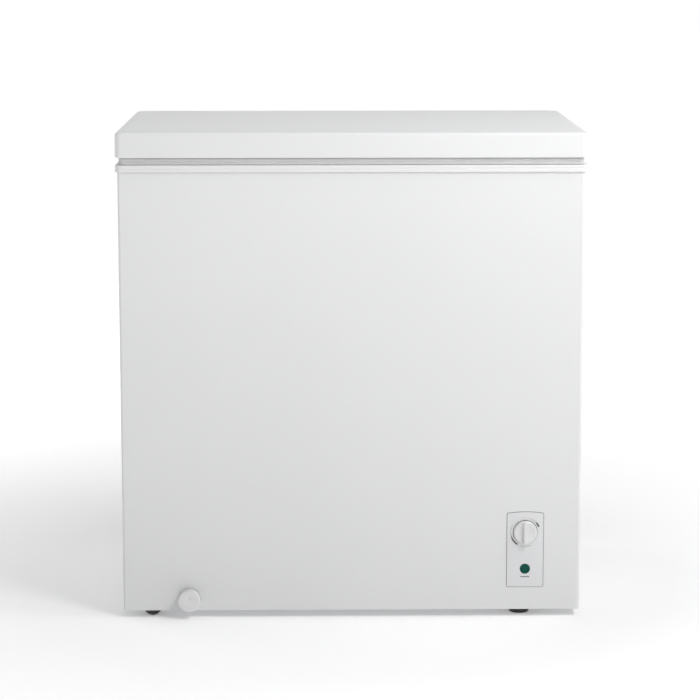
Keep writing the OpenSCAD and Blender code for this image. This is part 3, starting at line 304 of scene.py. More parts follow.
def make_materials():
    """One material for each of the record's slots, and a few of their own for special surfaces."""
    surfaces = (
        coating("painted_steel", (0.74, 0.743, 0.748), 0.4, 750, 0.06 * MM, coat=0.08,
                spread=0.012),
        coating("coated_sheet", (0.56, 0.57, 0.585), 0.42, 1100, 0.04 * MM, spread=0.03,
                streak=(1, 1, 0.15)),
        coating("rim_plastic", (0.745, 0.745, 0.742), 0.36, 1600, 0.05 * MM, spread=0.015),
        coating("white_plastic", (0.73, 0.73, 0.735), 0.22, 1300, 0.02 * MM, coat=0.4,
                spread=0.012, blotch=9.0),
        coating("panel_plastic", (0.72, 0.723, 0.73), 0.38, 2100, 0.04 * MM, spread=0.012,
                blotch=8.0, cells=True),
        coating("black_enamel", (0.012, 0.012, 0.013), 0.3, 500, 0.1 * MM, coat=0.3, spread=0.3,
                blotch=12.0),
        coating("basket_coating", (0.78, 0.78, 0.785), 0.3, 900, 0.08 * MM, coat=0.3, spread=0.02,
                blotch=15.0),
        scuffed("black_plastic", (0.022, 0.022, 0.023), (0.05, 0.05, 0.048), 0.42, 1500,
                0.06 * MM),
        scuffed("cast_motor", (0.16, 0.16, 0.17), (0.3, 0.3, 0.3), 0.7, 700, 0.3 * MM),
        scuffed("black_rubber", (0.02, 0.02, 0.02), (0.055, 0.054, 0.05), 0.62, 1900, 0.06 * MM),
        scuffed("roller_nylon", (0.075, 0.076, 0.08), (0.15, 0.15, 0.15), 0.4, 1700, 0.05 * MM,
                wear_scale=90.0),
        scuffed("wire_sheath", (0.03, 0.03, 0.032), (0.07, 0.07, 0.07), 0.5, 1800, 0.04 * MM),
        scuffed("printed_ink", (0.11, 0.112, 0.12), (0.16, 0.16, 0.165), 0.55, 2500, 0.02 * MM,
                wear_scale=200.0),
        metal("thermostat_metal", (0.55, 0.55, 0.56), (0.4, 0.4, 0.41), 0.34, (1, 0.05, 1)),
        metal("zinc_steel", (0.72, 0.73, 0.75), (0.5, 0.51, 0.53), 0.36, (0.08, 1, 1),
              spangle=110.0),
        metal("spring_steel", (0.34, 0.34, 0.35), (0.2, 0.195, 0.19), 0.3, (1, 1, 1)),
        metal("copper", (0.78, 0.42, 0.27), (0.42, 0.2, 0.12), 0.3, (1, 1, 0.1)),
        metal("aluminium_tube", (0.83, 0.84, 0.85), (0.66, 0.67, 0.68), 0.32, (0.1, 1, 1)),
        gasket_vinyl(),
        foam_block(),
        lens_green(),
        stucco_liner(),
    )
    return {n.name: n.material for n in surfaces}


# ---------- mesh making ----------

def smoothstep(t):
    t = max(0.0, min(1.0, t))
    return t * t * (3 - 2 * t)


def turn_front(x, z, y):
    """Puts a shape made along +Z so that it faces the front, with its middle at x, y, z."""
    return Matrix.Translation((x, y, z)) @ Matrix.Rotation(math.radians(90), 4, "X")


def turn_back(x, z, y):
    """Puts a shape made along +Z so that it faces the back."""
    return Matrix.Translation((x, y, z)) @ Matrix.Rotation(math.radians(-90), 4, "X")


def loft(rings, wrap=False):
    """Faces between rings of equal length, as (points, faces). wrap joins the last ring to the
    first; without it, both ends are closed."""
    count = len(rings[0])
    points = [p for ring in rings for p in ring]
    faces = []
    last = len(rings) if wrap else len(rings) - 1
    for i in range(last):
        a, b = i * count, (i + 1) % len(rings) * count
        faces += [(a + k, a + (k + 1) % count, b + (k + 1) % count, b + k) for k in range(count)]
    if not wrap:
        faces.append(tuple(range(count)))
        faces.append(tuple(range(len(points) - count, len(points))))
    return points, faces


def gather(parts):
    """Several (points, faces) as one."""
    points, faces = [], []
    for more_points, more_faces in parts:
        start = len(points)
        points += more_points
        faces += [tuple(start + k for k in f) for f in more_faces]
    return points, faces


def moved(part, matrix):
    points, faces = part
    return [matrix @ Vector(p) for p in points], faces


def circle(radius, z, steps):
    """One ring of points round Z."""
    return [Vector((radius * math.cos(2 * math.pi * k / steps),
                    radius * math.sin(2 * math.pi * k / steps), z)) for k in range(steps)]


def arc(cx, cy, radius, start, end, steps=6):
    """Points of an arc in a plane, angles in degrees."""
    return [(cx + radius * math.cos(math.radians(start + (end - start) * k / steps)),
             cy + radius * math.sin(math.radians(start + (end - start) * k / steps)))
            for k in range(steps + 1)]


def rounded_rectangle(half_x, half_y, radius, z, steps=8):
    """One ring of points round a rectangle with round corners."""
    ring = []
    for quarter, (sx, sy) in enumerate(((1, 1), (-1, 1), (-1, -1), (1, -1))):
        ring += [Vector((x, y, z)) for x, y in arc(
            sx * (half_x - radius), sy * (half_y - radius), radius, 90 * quarter,
            90 * quarter + 90, steps)]
    return ring


def band(profile, half_x, half_y, wrap=False):
    """A profile of (inset, height, corner radius) points carried round a rectangle."""
    return loft([rounded_rectangle(half_x - inset, half_y - inset, radius, z)
                 for inset, z, radius in profile], wrap)


def turned(profile, steps, wrap=False):
    """A profile of (radius, height) points turned about Z."""
    return loft([circle(radius, z, steps) for radius, z in profile], wrap)


def tube(path, radius, sides=10, closed=False):
    """A round wire along a path."""
    path = [Vector(p) for p in path]
    count = len(path)
    normal = None
    rings = []
    for i, p in enumerate(path):
        before = path[i - 1] if closed or i > 0 else p
        after = path[(i + 1) % count] if closed or i < count - 1 else p
        along = (after - before).normalized()
        if normal is None:
            normal = along.orthogonal().normalized()
        normal = (normal - along * normal.dot(along)).normalized()
        side = along.cross(normal)
        rings.append([p + radius * (math.cos(2 * math.pi * k / sides) * normal
                                    + math.sin(2 * math.pi * k / sides) * side)
                      for k in range(sides)])
    return loft(rings, wrap=closed)


def rounded_path(corners, radius, steps=5):
    """An open path through corners, with each inner corner rounded."""
    corners = [Vector(c) for c in corners]
    path = [corners[0]]
    for before, c, after in zip(corners, corners[1:], corners[2:]):
        start = c + (before - c).normalized() * radius
        end = c + (after - c).normalized() * radius
        for k in range(steps + 1):
            t = k / steps
            path.append(start * (1 - t) ** 2 + c * 2 * t * (1 - t) + end * t ** 2)
    path.append(corners[-1])
    return path


def node_shape(node):
    """A CAD node's mesh, open for editing, with the points of neighbouring faces joined."""
    shape = bmesh.new()
    shape.from_mesh(frame["nodes"][node].data)
    bmesh.ops.remove_doubles(shape, verts=shape.verts, dist=CAD_WELD)
    return shape


def finish_mesh(name, part):
    """A mesh of (points, faces), its double points joined and its faces turned outwards."""
    points, faces = part
    mesh = bpy.data.meshes.new(name)
    mesh.from_pydata([tuple(p) for p in points], [], faces)
    shape = bmesh.new()
    shape.from_mesh(mesh)
    bmesh.ops.remove_doubles(shape, verts=shape.verts, dist=WELD)
    bmesh.ops.recalc_face_normals(shape, faces=shape.faces)
    shape.to_mesh(mesh)
    shape.free()
    return mesh


def add_piece(name, mesh, material, body, replaces=()):
    """A finished piece, smooth where it curves, riding on its body."""
    mesh.shade_smooth()
    mesh.set_sharp_from_angle(angle=SMOOTH_ANGLE)
    mesh.materials.append(material)
    piece = link_object(name, mesh)
    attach(piece, body)
    if replaces:
        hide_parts(*replaces)


def build(name, part, material, body, replaces=()):
    add_piece(name, finish_mesh(name, part), material, body, replaces)


def body_of(node):
    return frame["nodes"][node]["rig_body"]


# ---------- lid and rim ----------
# Profiles run from outside to inside as (inset, height, corner radius).

def make_lid(mat):
    """Folded steel lid: upright sides, a rolled top edge and a shoulder up to the flat top."""
    low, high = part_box("lid_skin")
    half_x, half_y = high.x, (high.y - low.y) / 2
    top = high.z
    sheet = 0.8 * MM
    hem, hem_corner = 4 * MM, 8 * MM
    roll, corner = 5 * MM, 11 * MM
    rise, shoulder = 1.1 * MM, 15 * MM
    side_top = top - rise - roll
    field = shoulder + 40 * MM
    outer = [(hem, low.z + sheet, hem_corner), (hem - 0.4 * MM, low.z, hem_corner),
             (1.2 * MM, low.z, corner), (0.3 * MM, low.z + 0.35 * MM, corner),
             (0, low.z + 1.2 * MM, corner), (0, low.z + 3 * MM, corner),
             (0, side_top - 2 * MM, corner)]
    outer += [(roll - x, side_top + z, corner) for x, z in arc(0, 0, roll, 0, 78, 8)]
    outer += [(roll + (shoulder - roll) * t + 0.4 * MM,
               top - rise * (1 - smoothstep(0.15 + 0.85 * t)), corner)
              for t in (0.15, 0.35, 0.6, 0.8, 1.0)]
    outer += [(shoulder + 4 * MM, top, corner), (field, top, corner)]
    inner = [(field, top - sheet, corner), (roll + 2 * MM, top - rise - sheet, corner),
             (sheet, side_top, corner), (sheet, low.z + 2 * sheet, corner),
             (hem, low.z + 1.6 * sheet, hem_corner)]
    build("lid_outer", band(outer[::-1] + inner[::-1], half_x, half_y), mat["painted_steel"],
          "lid", ("lid_skin",))


def make_lid_inside(mat):
    """Formed lid liner with a shallow recessed field, and the foam between it and the skin."""
    low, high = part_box("lid_liner")
    foam_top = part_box("lid_foam")[1].z
    half_x, half_y = high.x, high.y
    wall, edge, edge_corner = 1.5 * MM, 0.6 * MM, 10 * MM
    plug = 59.2 * MM
    root, bend = 4 * MM, 7 * MM
    field, dish = 190 * MM, 2.6 * MM
    under = high.z - wall
    below = [(edge, under, edge_corner), (plug - root, under, 26 * MM)]
    below += [(plug - root + x, under - root + z, 24 * MM)
              for x, z in arc(0, 0, root, 80, 0, 5)]
    below += [(plug + bend - x, low.z + bend - z, 20 * MM) for x, z in arc(0, 0, bend, 0, 90, 7)]
    below += [(96 * MM, low.z, 18 * MM), (98 * MM, low.z + 0.5 * MM, 17 * MM),
              (101 * MM, low.z + 2.2 * MM, 16 * MM), (104 * MM, low.z + dish, 15 * MM),
              (field, low.z + dish, 10 * MM)]
    above = [(i + edge, z + wall, r) for i, z, r in below]
    above[0] = (edge, high.z, edge_corner)
    build("lid_inner", band(below[::-1] + above, half_x, half_y), mat["rim_plastic"], "lid",
          ("lid_liner",))
    gap, foam_corner = 0.4 * MM, 6 * MM
    core = [(i + wall, z + wall + gap, r) for i, z, r in below[::-1]]
    core += [(2 * MM, foam_top - 9 * MM, 9 * MM), (4 * MM, foam_top - 4 * MM, 8 * MM),
             (8 * MM, foam_top - 2.4 * MM, 8 * MM), (24 * MM, foam_top - gap, foam_corner),
             (field, foam_top - gap, foam_corner)]
    build("lid_core", band(core, half_x, half_y), mat["foam"], "lid", ("lid_foam",))


def make_rim(mat):
    """Moulded rim: a fine line round its side, a soft top edge and an inner lip over the ledge."""
    low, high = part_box("rim_collar")
    wall, soft, ledge = 2.5 * MM, 1.8 * MM, 46 * MM
    corner, lip_corner, inner_corner = 10 * MM, 27.5 * MM, 28 * MM
    line, depth = 1.0 * MM, 0.4 * MM
    middle = low.z + 0.52 * (high.z - low.z)
    side = [(0.6 * MM, low.z), (0.15 * MM, low.z + 0.3 * MM), (0, low.z + 0.8 * MM),
            (0, middle - line), (depth, middle - line * 0.3), (depth, middle + line * 0.3),
            (0, middle + line)]
    side += [(soft - x, high.z - soft + z) for x, z in arc(0, 0, soft, 0, 90)]
    profile = [(i, z, corner) for i, z in side]
    profile += [(4 * MM, high.z, corner), (ledge - 4 * MM, high.z, inner_corner)]
    profile += [(ledge - soft + x, high.z - soft + z, lip_corner)
                for x, z in arc(0, 0, soft, 90, 0)]
    profile += [(ledge, low.z + 0.5 * MM, lip_corner), (ledge - 0.5 * MM, low.z, lip_corner),
                (ledge - wall, low.z, inner_corner), (ledge - wall, high.z - wall, inner_corner),
                (wall, high.z - wall, corner - wall), (wall, low.z, corner - wall)]
    build("cabinet_rim", band(profile, high.x, high.y, wrap=True), mat["rim_plastic"], "cabinet",
          ("rim_collar",))


def make_seal(mat):
    """Magnetic gasket: a flat magnet pocket on the rim and a folded bellows up to the lid."""
    low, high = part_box("lid_gasket")
    foot, width = 5 * MM, 20 * MM
    corner, inner_corner = 9 * MM, 4 * MM
    outer = [(1.6 * MM, 0.0), (0.5 * MM, 0.5 * MM), (0, 1.6 * MM), (0.1 * MM, foot - 1.2 * MM),
             (0.7 * MM, foot - 0.3 * MM), (1.7 * MM, foot + 0.2 * MM), (1.8 * MM, foot + 0.8 * MM),
             (1.0 * MM, foot + 1.6 * MM), (0.8 * MM, foot + 3.4 * MM), (1.1 * MM, foot + 5.2 * MM),
             (2.2 * MM, foot + 6.5 * MM), (3.0 * MM, foot + 7.3 * MM), (3.8 * MM, high.z - low.z)]
    outline = [(i, low.z + z, corner) for i, z in outer]
    outline += [(width - i, low.z + z, inner_corner) for i, z in outer[::-1]]
    build("lid_seal", band(outline, high.x, high.y, wrap=True), mat["gasket_vinyl"], "lid",
          ("lid_gasket",))


# ---------- controls ----------

def make_knob(mat):
    """Thermostat knob: a skirt, a drum, and a smooth grip ridge between two scooped cheeks."""
    low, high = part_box("thermostat_knob")
    middle = (low + high) / 2
    radius = (high.x - low.x) / 2
    back = PANEL_FACE - 0.7 * MM
    drum = radius - 1.3 * MM
    ridge_height, ridge_half, ridge_side = 6 * MM, 2.4 * MM, 2.6 * MM
    cheek = back - low.y - ridge_height
    face, scoop_depth = drum - 2 * MM, 2 * MM
    steps, face_rings = 128, 25

    def ridge(x):
        return smoothstep(1 - (abs(x) - ridge_half) / ridge_side)

    def ring(r, h, share):
        points = circle(r, h, steps)
        for p in points:
            p.z += share * ridge_height * ridge(p.x)
        return points

    rings = [ring(radius - 0.6 * MM, 0, 0), ring(radius, 0.5 * MM, 0), ring(radius, 2.4 * MM, 0),
             ring(radius - 0.3 * MM, 3.1 * MM, 0), ring(radius - 0.9 * MM, 3.5 * MM, 0),
             ring(drum, 3.7 * MM, 0), ring(drum - 0.1 * MM, 4.6 * MM, 0.1),
             ring(drum - 0.35 * MM, cheek - 1.4 * MM, 0.97)]
    for edge, drop in ((0.7, 0.6), (1.2, 0.2), (2.0, 0.0)):
        rings.append(ring(drum - edge * MM, cheek - drop * MM, 1))
    for k in range(1, face_rings + 1):
        share = k / (face_rings + 1)
        scoop = scoop_depth * (1 - (1 - share) ** 2)
        points = ring(face * (1 - share), cheek - scoop, 1)
        for p in points:
            p.z += scoop * ridge(p.x)
        rings.append(points)
    build("knob_cap", moved(loft(rings), turn_front(middle.x, middle.z, back)),
          mat["white_plastic"], "thermostat_knob", ("thermostat_knob",))


def make_knob_seat(mat):
    """Thin dark ring in the gap behind the knob, as painted shade for the gap's shadow."""
    low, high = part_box("thermostat_knob")
    middle = (low + high) / 2
    edge = (high.x - low.x) / 2 + 0.7 * MM
    inner, thick = edge - 6 * MM, 0.5 * MM
    profile = [(inner, 0), (edge - 0.1 * MM, 0), (edge, 0.1 * MM), (edge, 0.35 * MM),
               (edge - 0.15 * MM, thick), (inner, thick)]
    # Painted shade: a dark ring that stands for the shadow in the gap round the knob.
    knob_shade_shape = turned(profile, 96, wrap=True)
    build("knob_seat", moved(knob_shade_shape, turn_front(middle.x, middle.z, PANEL_FACE)),
          mat["black_rubber"], "cabinet")


def make_lens(mat):
    """Signal lens: a thin flange round a low dome."""
    low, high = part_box("indicator_lens")
    middle = (low + high) / 2
    radius = (high.x - low.x) / 2
    out, flange_out, dome_rings = 1.6 * MM, 0.6 * MM, 13
    flange = high.y - PANEL_FACE
    depth = flange + out
    dome = radius - 1.1 * MM
    rise = out - flange_out
    bulge = (dome ** 2 + rise ** 2) / (2 * rise)
    profile = [(radius - 0.3 * MM, 0), (radius, 0.3 * MM), (radius, flange + 0.2 * MM),
               (radius - 0.3 * MM, flange + flange_out), (dome + 0.3 * MM, flange + flange_out),
               (dome, flange + 0.35 * MM)]
    for k in range(dome_rings):
        r = dome * (1 - k / dome_rings)
        profile.append((r, depth - bulge + math.sqrt(bulge ** 2 - r ** 2)))
    build("lamp_lens", moved(turned(profile, 64), turn_front(middle.x, middle.z, high.y)),
          mat["lens_green"], "cabinet", ("indicator_lens",))


def arched(x, low_z, high_z, half_x, arch, corner, inset, y):
    """One ring of the panel's outline, seen from the front: square below, gently arched above."""
    half = half_x - inset
    low_z, high_z = low_z + inset, high_z - inset
    corner = max(corner - inset, 0.3 * MM)
    radius = (half ** 2 + arch ** 2) / (2 * arch)
    shoulder = high_z - arch * ((half - corner) / half) ** 2 - corner
    ring = arc(-half + corner, low_z + corner, corner, 180, 270)
    ring += arc(half - corner, low_z + corner, corner, 270, 360)
    ring += arc(half - corner, shoulder, corner, 0, 80)
    for k in range(1, 16):
        across = (half - corner) * (1 - k / 8)
        ring.append((across, high_z - radius + math.sqrt(radius ** 2 - across ** 2)))
    ring += arc(-half + corner, shoulder, corner, 100, 180)
    return [Vector((x + px, y, pz)) for px, pz in ring]


def make_panel(mat):
    """Control panel: an arched plate that stands just proud of the body, ringed by a thin dark band
    of painted shade for its shadow gap.
    """
    low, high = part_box("control_panel")
    flange, overlap = 5 * MM, 4.6 * MM
    arch, corner = 2.5 * MM, 2.5 * MM
    x = (low.x + high.x) / 2
    low_z, high_z = low.z + flange, high.z - flange
    half = (high.x - low.x) / 2 - flange

    def ring(inset, y):
        return arched(x, low_z, high_z, half, arch, corner, inset, y)

    plate = [ring(-overlap, high.y), ring(-overlap, high.y - 0.9 * MM),
             ring(-0.2 * MM, high.y - 1.0 * MM), ring(-0.2 * MM, BODY_FRONT - 0.1 * MM),
             ring(-0.45 * MM, BODY_FRONT - 0.2 * MM), ring(-0.5 * MM, BODY_FRONT - 0.5 * MM),
             ring(-0.3 * MM, PANEL_FACE + 0.15 * MM), ring(0.1 * MM, PANEL_FACE),
             ring(1.2 * MM, PANEL_FACE), ring(1.7 * MM, PANEL_FACE + 0.12 * MM),
             ring(2.2 * MM, PANEL_FACE), ring(14 * MM, PANEL_FACE)]
    build("panel_plate", loft(plate), mat["panel_plastic"], "cabinet",
          ("control_panel",))
    # Painted shade: a thin dark ring round the plate that stands for the shadow in the gap round
    # the panel.
    shade_ring_back, shade_ring_front = BODY_FRONT + 0.05 * MM, BODY_FRONT - 0.18 * MM
    shade_ring = [ring(0.8 * MM, shade_ring_back), ring(-1.15 * MM, shade_ring_back),
            ring(-1.25 * MM, BODY_FRONT - 0.12 * MM), ring(-1.05 * MM, shade_ring_front),
            ring(0.8 * MM, shade_ring_front)]
    build("panel_shade_ring", loft(shade_ring, wrap=True), mat["black_rubber"], "cabinet")


# Arcs printed round the knob: start and sweep in degrees, and the width they grow to in mm.
ARCS = ((68, -46, 3.0), (150, 88, 2.8), (252, 42, 0.5))


def mark(outline, thickness):
    """A printed mark: a thin slab with the outline given in the panel's plane."""
    return loft([[Vector((x, y, z)) for x, y in outline] for z in (0, thickness)])


def make_marks(mat):
    """Plain printed marks: three arcs round the knob and a bar under the lamp."""
    knob_low, knob_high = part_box("thermostat_knob")
    knob = (knob_low + knob_high) / 2
    lens_low, lens_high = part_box("indicator_lens")
    ink, thin, steps = 0.1 * MM, 0.36, 28
    radius = (knob_high.x - knob_low.x) / 2 + 4.7 * MM
    parts = []
    for start, sweep, thick in ARCS:
        outer, inner = [], []
        for k in range(steps + 1):
            share = k / steps
            a = math.radians(start + sweep * share)
            half = (thin / 2 + (thick - thin) / 2 * smoothstep((share - 0.4) * 3)) * MM
            outer.append(((radius + half) * math.cos(a), (radius + half) * math.sin(a)))
            inner.append(((radius - half) * math.cos(a), (radius - half) * math.sin(a)))
        parts.append(moved(mark(outer + inner[::-1], ink), turn_front(knob.x, knob.z, PANEL_FACE)))
    half_x, half_z, below = 7.8 * MM, 0.8 * MM, 5.4 * MM
    bar = [(-half_x, -half_z), (half_x, -half_z), (half_x, half_z), (-half_x, half_z)]
    parts.append(moved(mark(bar, ink), turn_front((lens_low.x + lens_high.x) / 2,
                                                  lens_low.z - below, PANEL_FACE)))
    build("panel_marks", gather(parts), mat["printed_ink"], "cabinet")


# ---------- basket ----------

HOOPS = (0.76, 0.52, 0.28, 0.06)
WIRES_ACROSS = 9
WIRES_ALONG = 15


def make_basket(mat):
    """Wire basket: a thick rim with hooks, hoops down the sides and U wires across both ways."""
    low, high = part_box("basket")
    wire, thick = 1.5 * MM, 2 * MM
    corner, bend, hook_bend = 20 * MM, 14 * MM, 5 * MM
    mid_x = (low.x + high.x) / 2
    half_x = (high.x - low.x) / 2 - wire
    half_y = high.y - 10.5 * MM - wire
    top, bottom = high.z - thick, low.z + wire
    inset = 0.2 * MM
    parts = []

    def hoop(z, radius, inset):
        ring = rounded_rectangle(half_x - inset, half_y - inset, corner - inset, z, 6)
        parts.append(tube([p + Vector((mid_x, 0, 0)) for p in ring], radius, closed=True))

    hoop(top, thick, 0.5 * MM)
    for share in HOOPS:
        hoop(bottom + share * (top - bottom), wire, 2.5 * MM)
    for k in range(WIRES_ACROSS):
        x = mid_x + (k / (WIRES_ACROSS - 1) * 2 - 1) * (half_x - corner)
        side = half_y - inset
        path = [(x, -side, top), (x, -side, bottom), (x, side, bottom), (x, side, top)]
        parts.append(tube(rounded_path(path, bend), wire, 8))
    for k in range(WIRES_ALONG):
        y = (k / (WIRES_ALONG - 1) * 2 - 1) * (half_y - corner)
        side = half_x - inset
        z = bottom + 2.6 * MM
        path = [(mid_x - side, y, top), (mid_x - side, y, z), (mid_x + side, y, z),
                (mid_x + side, y, top)]
        parts.append(tube(rounded_path(path, bend), wire, 8))
    for s in (-1, 1):
        root, reach = s * (half_y - 1 * MM), s * (high.y - thick)
        span = half_x - corner - 8 * MM
        path = [(mid_x - span, root, top), (mid_x - span, reach, top), (mid_x + span, reach, top),
                (mid_x + span, root, top)]
        parts.append(tube(rounded_path(path, hook_bend), thick))
    build("wire_basket", gather(parts), mat["basket_coating"], "basket",
          ("basket",))


# ---------- screws, springs and louvres ----------

# Rings of a screw's head, as shares of its radius.
HEAD_RINGS = (0.94, 0.84, 0.72, 0.6, 0.48, 0.36, 0.26, 0.16, 0.06)


def screw(radius, height, shank, length):
    """A pan-head screw along +Z with a cross recess, its head's underside at 0."""
    steps = 48
    slot, reach, recess = radius * 0.2, radius * 0.62, height * 0.45

    def head_height(r, a):
        h = height * math.sqrt(max(0.0, 1 - (r / radius) ** 2 * 0.8))
        x, y = abs(r * math.cos(a)), abs(r * math.sin(a))
        inside = (x < slot and y < reach) or (y < slot and x < reach)
        return h - (recess if inside else 0)

    rings = [circle(r, h, steps) for r, h in (
        (shank * 0.5, -length), (shank, -length + 1 * MM), (shank, 0), (radius, 0),
        (radius, height * 0.3))]
    for share in HEAD_RINGS:
        r = radius * share
        rings.append([Vector((r * math.cos(a), r * math.sin(a), head_height(r, a)))
                      for a in (2 * math.pi * k / steps for k in range(steps))])
    return loft(rings)


def loose_parts(node):
    """(lowest, highest) corner of each separate solid of a CAD node."""
    shape = node_shape(node)
    seen, boxes = set(), []
    for start in shape.verts:
        if start in seen:
            continue
        stack, members = [start], []
        seen.add(start)
        while stack:
            v = stack.pop()
            members.append(v.co.copy())
            for e in v.link_edges:
                other = e.other_vert(v)
                if other not in seen:
                    seen.add(other)
                    stack.append(other)
        boxes.append((Vector(min(c[i] for c in members) for i in range(3)),
                      Vector(max(c[i] for c in members) for i in range(3))))
    shape.free()
    return boxes


def make_back_screws(mat):
    """Cross-head screws at the back, each where its CAD solid is and turned its own way."""
    head, shank, turn_each = 2 * MM, 2 * MM, 37
    for node in ("cover_screws", "hinge_screws", "lid_screws"):
        parts = []
        for k, (low, high) in enumerate(loose_parts(node)):
            middle = (low + high) / 2
            place = turn_back(middle.x, middle.z, high.y - head)
            turn = Matrix.Rotation(math.radians(turn_each * k), 4, "Z")
            shape = screw((high.x - low.x) / 2, head, shank, high.y - low.y - head)
            parts.append(moved(shape, place @ turn))
        build(node + "_heads", gather(parts), mat["zinc_steel"], body_of(node),
              (node,))


def make_springs(mat):
    """Torsion springs: two round each hinge pin, each coiled between its cabinet leg and its lid
    leg.
    """
    wire, radius, pitch = 0.9 * MM, 5 * MM, 2 * MM
    coils, steps = 5, 20
    start = 9.9 * MM
    count = 0
    for base in ("hinge_base_left", "hinge_base_right"):
        pin_low, pin_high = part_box(base.replace("base", "pin"))
        pin = (pin_low + pin_high) / 2
        for side in (-1, 1):
            path = [(side * start, -radius, 8 * MM), (side * start, -radius, 4 * MM)]
            for k in range(coils * steps + 1):
                a = 2 * math.pi * k / steps
                path.append((side * (start + pitch * k / steps), -radius * math.cos(a),
                             -radius * math.sin(a)))
            end = side * (start + pitch * coils)
            path += [(end, -radius, -6 * MM), (end, -radius, -30 * MM)]
            count += 1
            name = "hinge_spring_%d" % count
            mesh = finish_mesh(name, tube([Vector(p) + pin for p in path], wire, 8))
            mesh.shade_smooth()
            mesh.materials.append(mat["spring_steel"])
            piece = link_object(name, mesh)
            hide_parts("hinge_springs")
            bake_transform(piece)


def hood(x, top, face, width, height):
    """One louvre hood: rooted above its slot and curling out over it."""
    thick, out, root, lap = 0.7 * MM, 3.2 * MM, 0.5 * MM, 0.8 * MM
    steps, end_swell = 12, 0.06
    profile = [(-0.1 * MM, 0.6 * MM)]
    profile += [(out * math.sin(math.radians(a)), height * math.cos(math.radians(a)) - height
                 + 1.2 * MM) for a in (20, 40, 60, 80, 90)]
    half = width / 2 + lap
    rings = []
    for k in range(steps + 1):
        u = k / steps * 2 - 1
        swell = math.sqrt(max(0.0, 1 - abs(u) ** 6)) * (1 - end_swell) + end_swell
        ring = [Vector((x + half * u, face + y * swell, top + z)) for y, z in profile]
        ring += [Vector((x + half * u, face + max(y * swell - thick, -root), top + z))
                 for y, z in profile[::-1]]
        rings.append(ring)
    return loft(rings)


def make_louvres(mat):
    """Pressed hoods over the slots of the rear cover, found by the corners that the slots share."""
    low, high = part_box("rear_cover")
    face = high.y
    side, below, above = 12 * MM, 40 * MM, 10 * MM
    in_column, in_row = 8, 4
    corners = set()
    for v in frame["nodes"]["rear_cover"].data.vertices:
        inside = (low.x + side < v.co.x < high.x - side
                  and low.z + below < v.co.z < high.z - above)
        if inside and abs(v.co.y - face) < 0.01 * MM:
            corners.add((round(v.co.x / MM, 1), round(v.co.z / MM, 1)))
    xs = sorted({x for x, z in corners if sum(1 for q in corners if q[0] == x) > in_column})
    zs = sorted({z for x, z in corners if sum(1 for q in corners if q[1] == z) > in_row})
    hoods = [hood((x0 + x1) / 2 * MM, z1 * MM, face, (x1 - x0) * MM, (z1 - z0) * MM)
             for x0, x1 in zip(xs[::2], xs[1::2]) for z0, z1 in zip(zs[::2], zs[1::2])]
    if hoods:
        build("cover_louvres", gather(hoods), mat["coated_sheet"], "cabinet")


# ---------- carried-over nodes ----------

# CAD nodes whose sharp edges are rounded: by how many mm, and their material.
SOFT_EDGES = {
    "drain_dial": (0.35, "white_plastic"),
    "drain_plug": (0.6, "white_plastic"),
    "foot_front_right": (0.8, "black_plastic"),
    "foot_rear_right": (0.8, "black_plastic"),
    "roller_front": (0.8, "roller_nylon"),
    "roller_rear": (0.8, "roller_nylon"),
    "hinge_base_left": (0.4, "painted_steel"),
    "hinge_base_right": (0.4, "painted_steel"),
    "hinge_arm_left": (0.4, "painted_steel"),
    "hinge_arm_right": (0.4, "painted_steel"),
    "hinge_pin_left": (0.4, "zinc_steel"),
    "hinge_pin_right": (0.4, "zinc_steel"),
    "cord_gland": (0.5, "black_rubber"),
    "relay_box": (0.8, "black_plastic"),
}

# CAD nodes that show as they are, in another material than their slot's.
OWN_MATERIAL = {"inner_liner": "stucco_liner"}


def soften(node, width, material):
    """A copy of a CAD node whose sharp edges are rounded by width, standing for that node."""
    shape = node_shape(node)
    bmesh.ops.dissolve_limit(shape, angle_limit=FLAT_ANGLE, verts=shape.verts, edges=shape.edges)
    sharp = [e for e in shape.edges if e.is_manifold and e.calc_face_angle(0) > SOFT_ANGLE]
    bmesh.ops.bevel(shape, geom=sharp, offset=width, segments=2, profile=0.5, affect="EDGES",
                    clamp_overlap=True)
    bmesh.ops.triangulate(shape, faces=[f for f in shape.faces if len(f.verts) > 4])
    bmesh.ops.recalc_face_normals(shape, faces=shape.faces)
    mesh = bpy.data.meshes.new(node + "_soft")
    shape.to_mesh(mesh)
    shape.free()
    add_piece(node + "_soft", mesh, material, body_of(node), (node,))


def soften_edges(mat):
    for node, (width, material) in SOFT_EDGES.items():
        soften(node, width * MM, mat[material])


def dress_nodes(mat, slots):
    """Gives every CAD node that still shows the material of its slot, or its own."""
    for name, node in frame["nodes"].items():
        if node.hide_render:
            continue
        node.data.materials.clear()
        node.data.materials.append(mat[OWN_MATERIAL.get(name, slots[name])])


# ---------- stage ----------

FLOOR_HALF = 25.0

# The floor glows from the first strength near the object to the last one far from it.
GLOW_NEAR, GLOW_FAR = 0.6, 2.4
GLOW_LOW, GLOW_HIGH = 0.25, 0.9

# The world is white up to the first height and as dim as SKY from the second one up.
SKY = 0.1
WHITE_TO, SKY_FROM = 0.1, 0.3

# Name, place, target, size and power in watts.
LIGHTS = (
    ("key", (1.2, -1.6, 2.0), (0.25, -0.25, 0.7), (0.8, 0.8), 25.5),
    ("side", (1.5, -0.55, 2.1), (0, -0.2, 0.5), (0.7, 0.7), 14),
    ("overhead", (-0.4, 0.35, 2.7), (-0.1, 0.2, 0.85), (3.0, 1.6), 23),
    ("back", (-2.4, 1.7, 1.5), (0, 0, 0.5), (1.4, 1.4), 18),
)


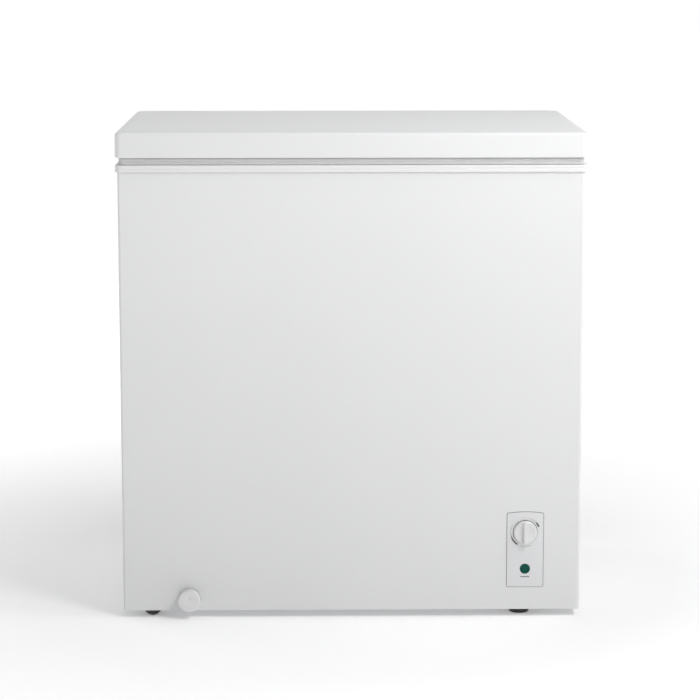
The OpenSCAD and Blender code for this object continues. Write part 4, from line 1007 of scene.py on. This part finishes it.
def make_floor():
    """A pale matte floor, brighter far from the object, so that it ends in the white background."""
    n = Nodes("studio_floor")
    n.paint(n.noise(1.5), [(0.3, (0.8, 0.8, 0.803)), (0.7, (0.82, 0.82, 0.82))])
    n.give({"Roughness": 0.8, "Specular IOR Level": 0.1, "Emission Color": (1, 1, 1, 1)})
    away = n.add("ShaderNodeVectorMath", operation="LENGTH")
    n.join(n.place(), away.inputs[0])
    glow = n.span(away.outputs["Value"], GLOW_LOW, GLOW_HIGH, GLOW_NEAR, GLOW_FAR)
    n.join(glow, n.shader.inputs["Emission Strength"])
    mesh = bpy.data.meshes.new("floor")
    corners = [(x * FLOOR_HALF, y * FLOOR_HALF, CAD_LOW.z)
               for x, y in ((-1, -1), (1, -1), (1, 1), (-1, 1))]
    mesh.from_pydata(corners, [], [(0, 1, 2, 3)])
    mesh.materials.append(n.material)
    link_object("floor", mesh)


def make_world():
    world = bpy.data.worlds.new("studio")
    bpy.context.scene.world = world
    world.use_nodes = True
    tree = world.node_tree
    where = tree.nodes.new("ShaderNodeTexCoord")
    split = tree.nodes.new("ShaderNodeSeparateXYZ")
    sky = tree.nodes.new("ShaderNodeValToRGB")
    white, dim = sky.color_ramp.elements
    white.position = WHITE_TO
    white.color = (1, 1, 1, 1)
    dim.position = SKY_FROM
    dim.color = (SKY, SKY, SKY * 1.01, 1)
    tree.links.new(where.outputs["Generated"], split.inputs["Vector"])
    tree.links.new(split.outputs["Z"], sky.inputs["Fac"])
    tree.links.new(sky.outputs["Color"], tree.nodes["Background"].inputs["Color"])
    bpy.context.scene.view_settings.view_transform = "Standard"


def make_lights():
    for name, place, target, size, power in LIGHTS:
        data = bpy.data.lights.new(name, "AREA")
        data.shape = "RECTANGLE"
        data.size, data.size_y = size
        data.energy = power
        light = link_object(name, data)
        light.visible_camera = False
        light.location = place
        aim = Vector(target) - Vector(place)
        light.rotation_euler = aim.to_track_quat("-Z", "Y").to_euler()


def main():
    make_camera()
    record = frame["record"]
    slots = {p["node"]: p["material_slot"] for p in record["subparts"]}
    mat = make_materials()
    make_lid(mat)
    make_lid_inside(mat)
    make_rim(mat)
    make_seal(mat)
    make_panel(mat)
    make_knob(mat)
    make_knob_seat(mat)
    make_lens(mat)
    make_marks(mat)
    make_basket(mat)
    make_back_screws(mat)
    make_springs(mat)
    make_louvres(mat)
    soften_edges(mat)
    dress_nodes(mat, slots)
    make_floor()
    make_world()
    make_lights()


main()
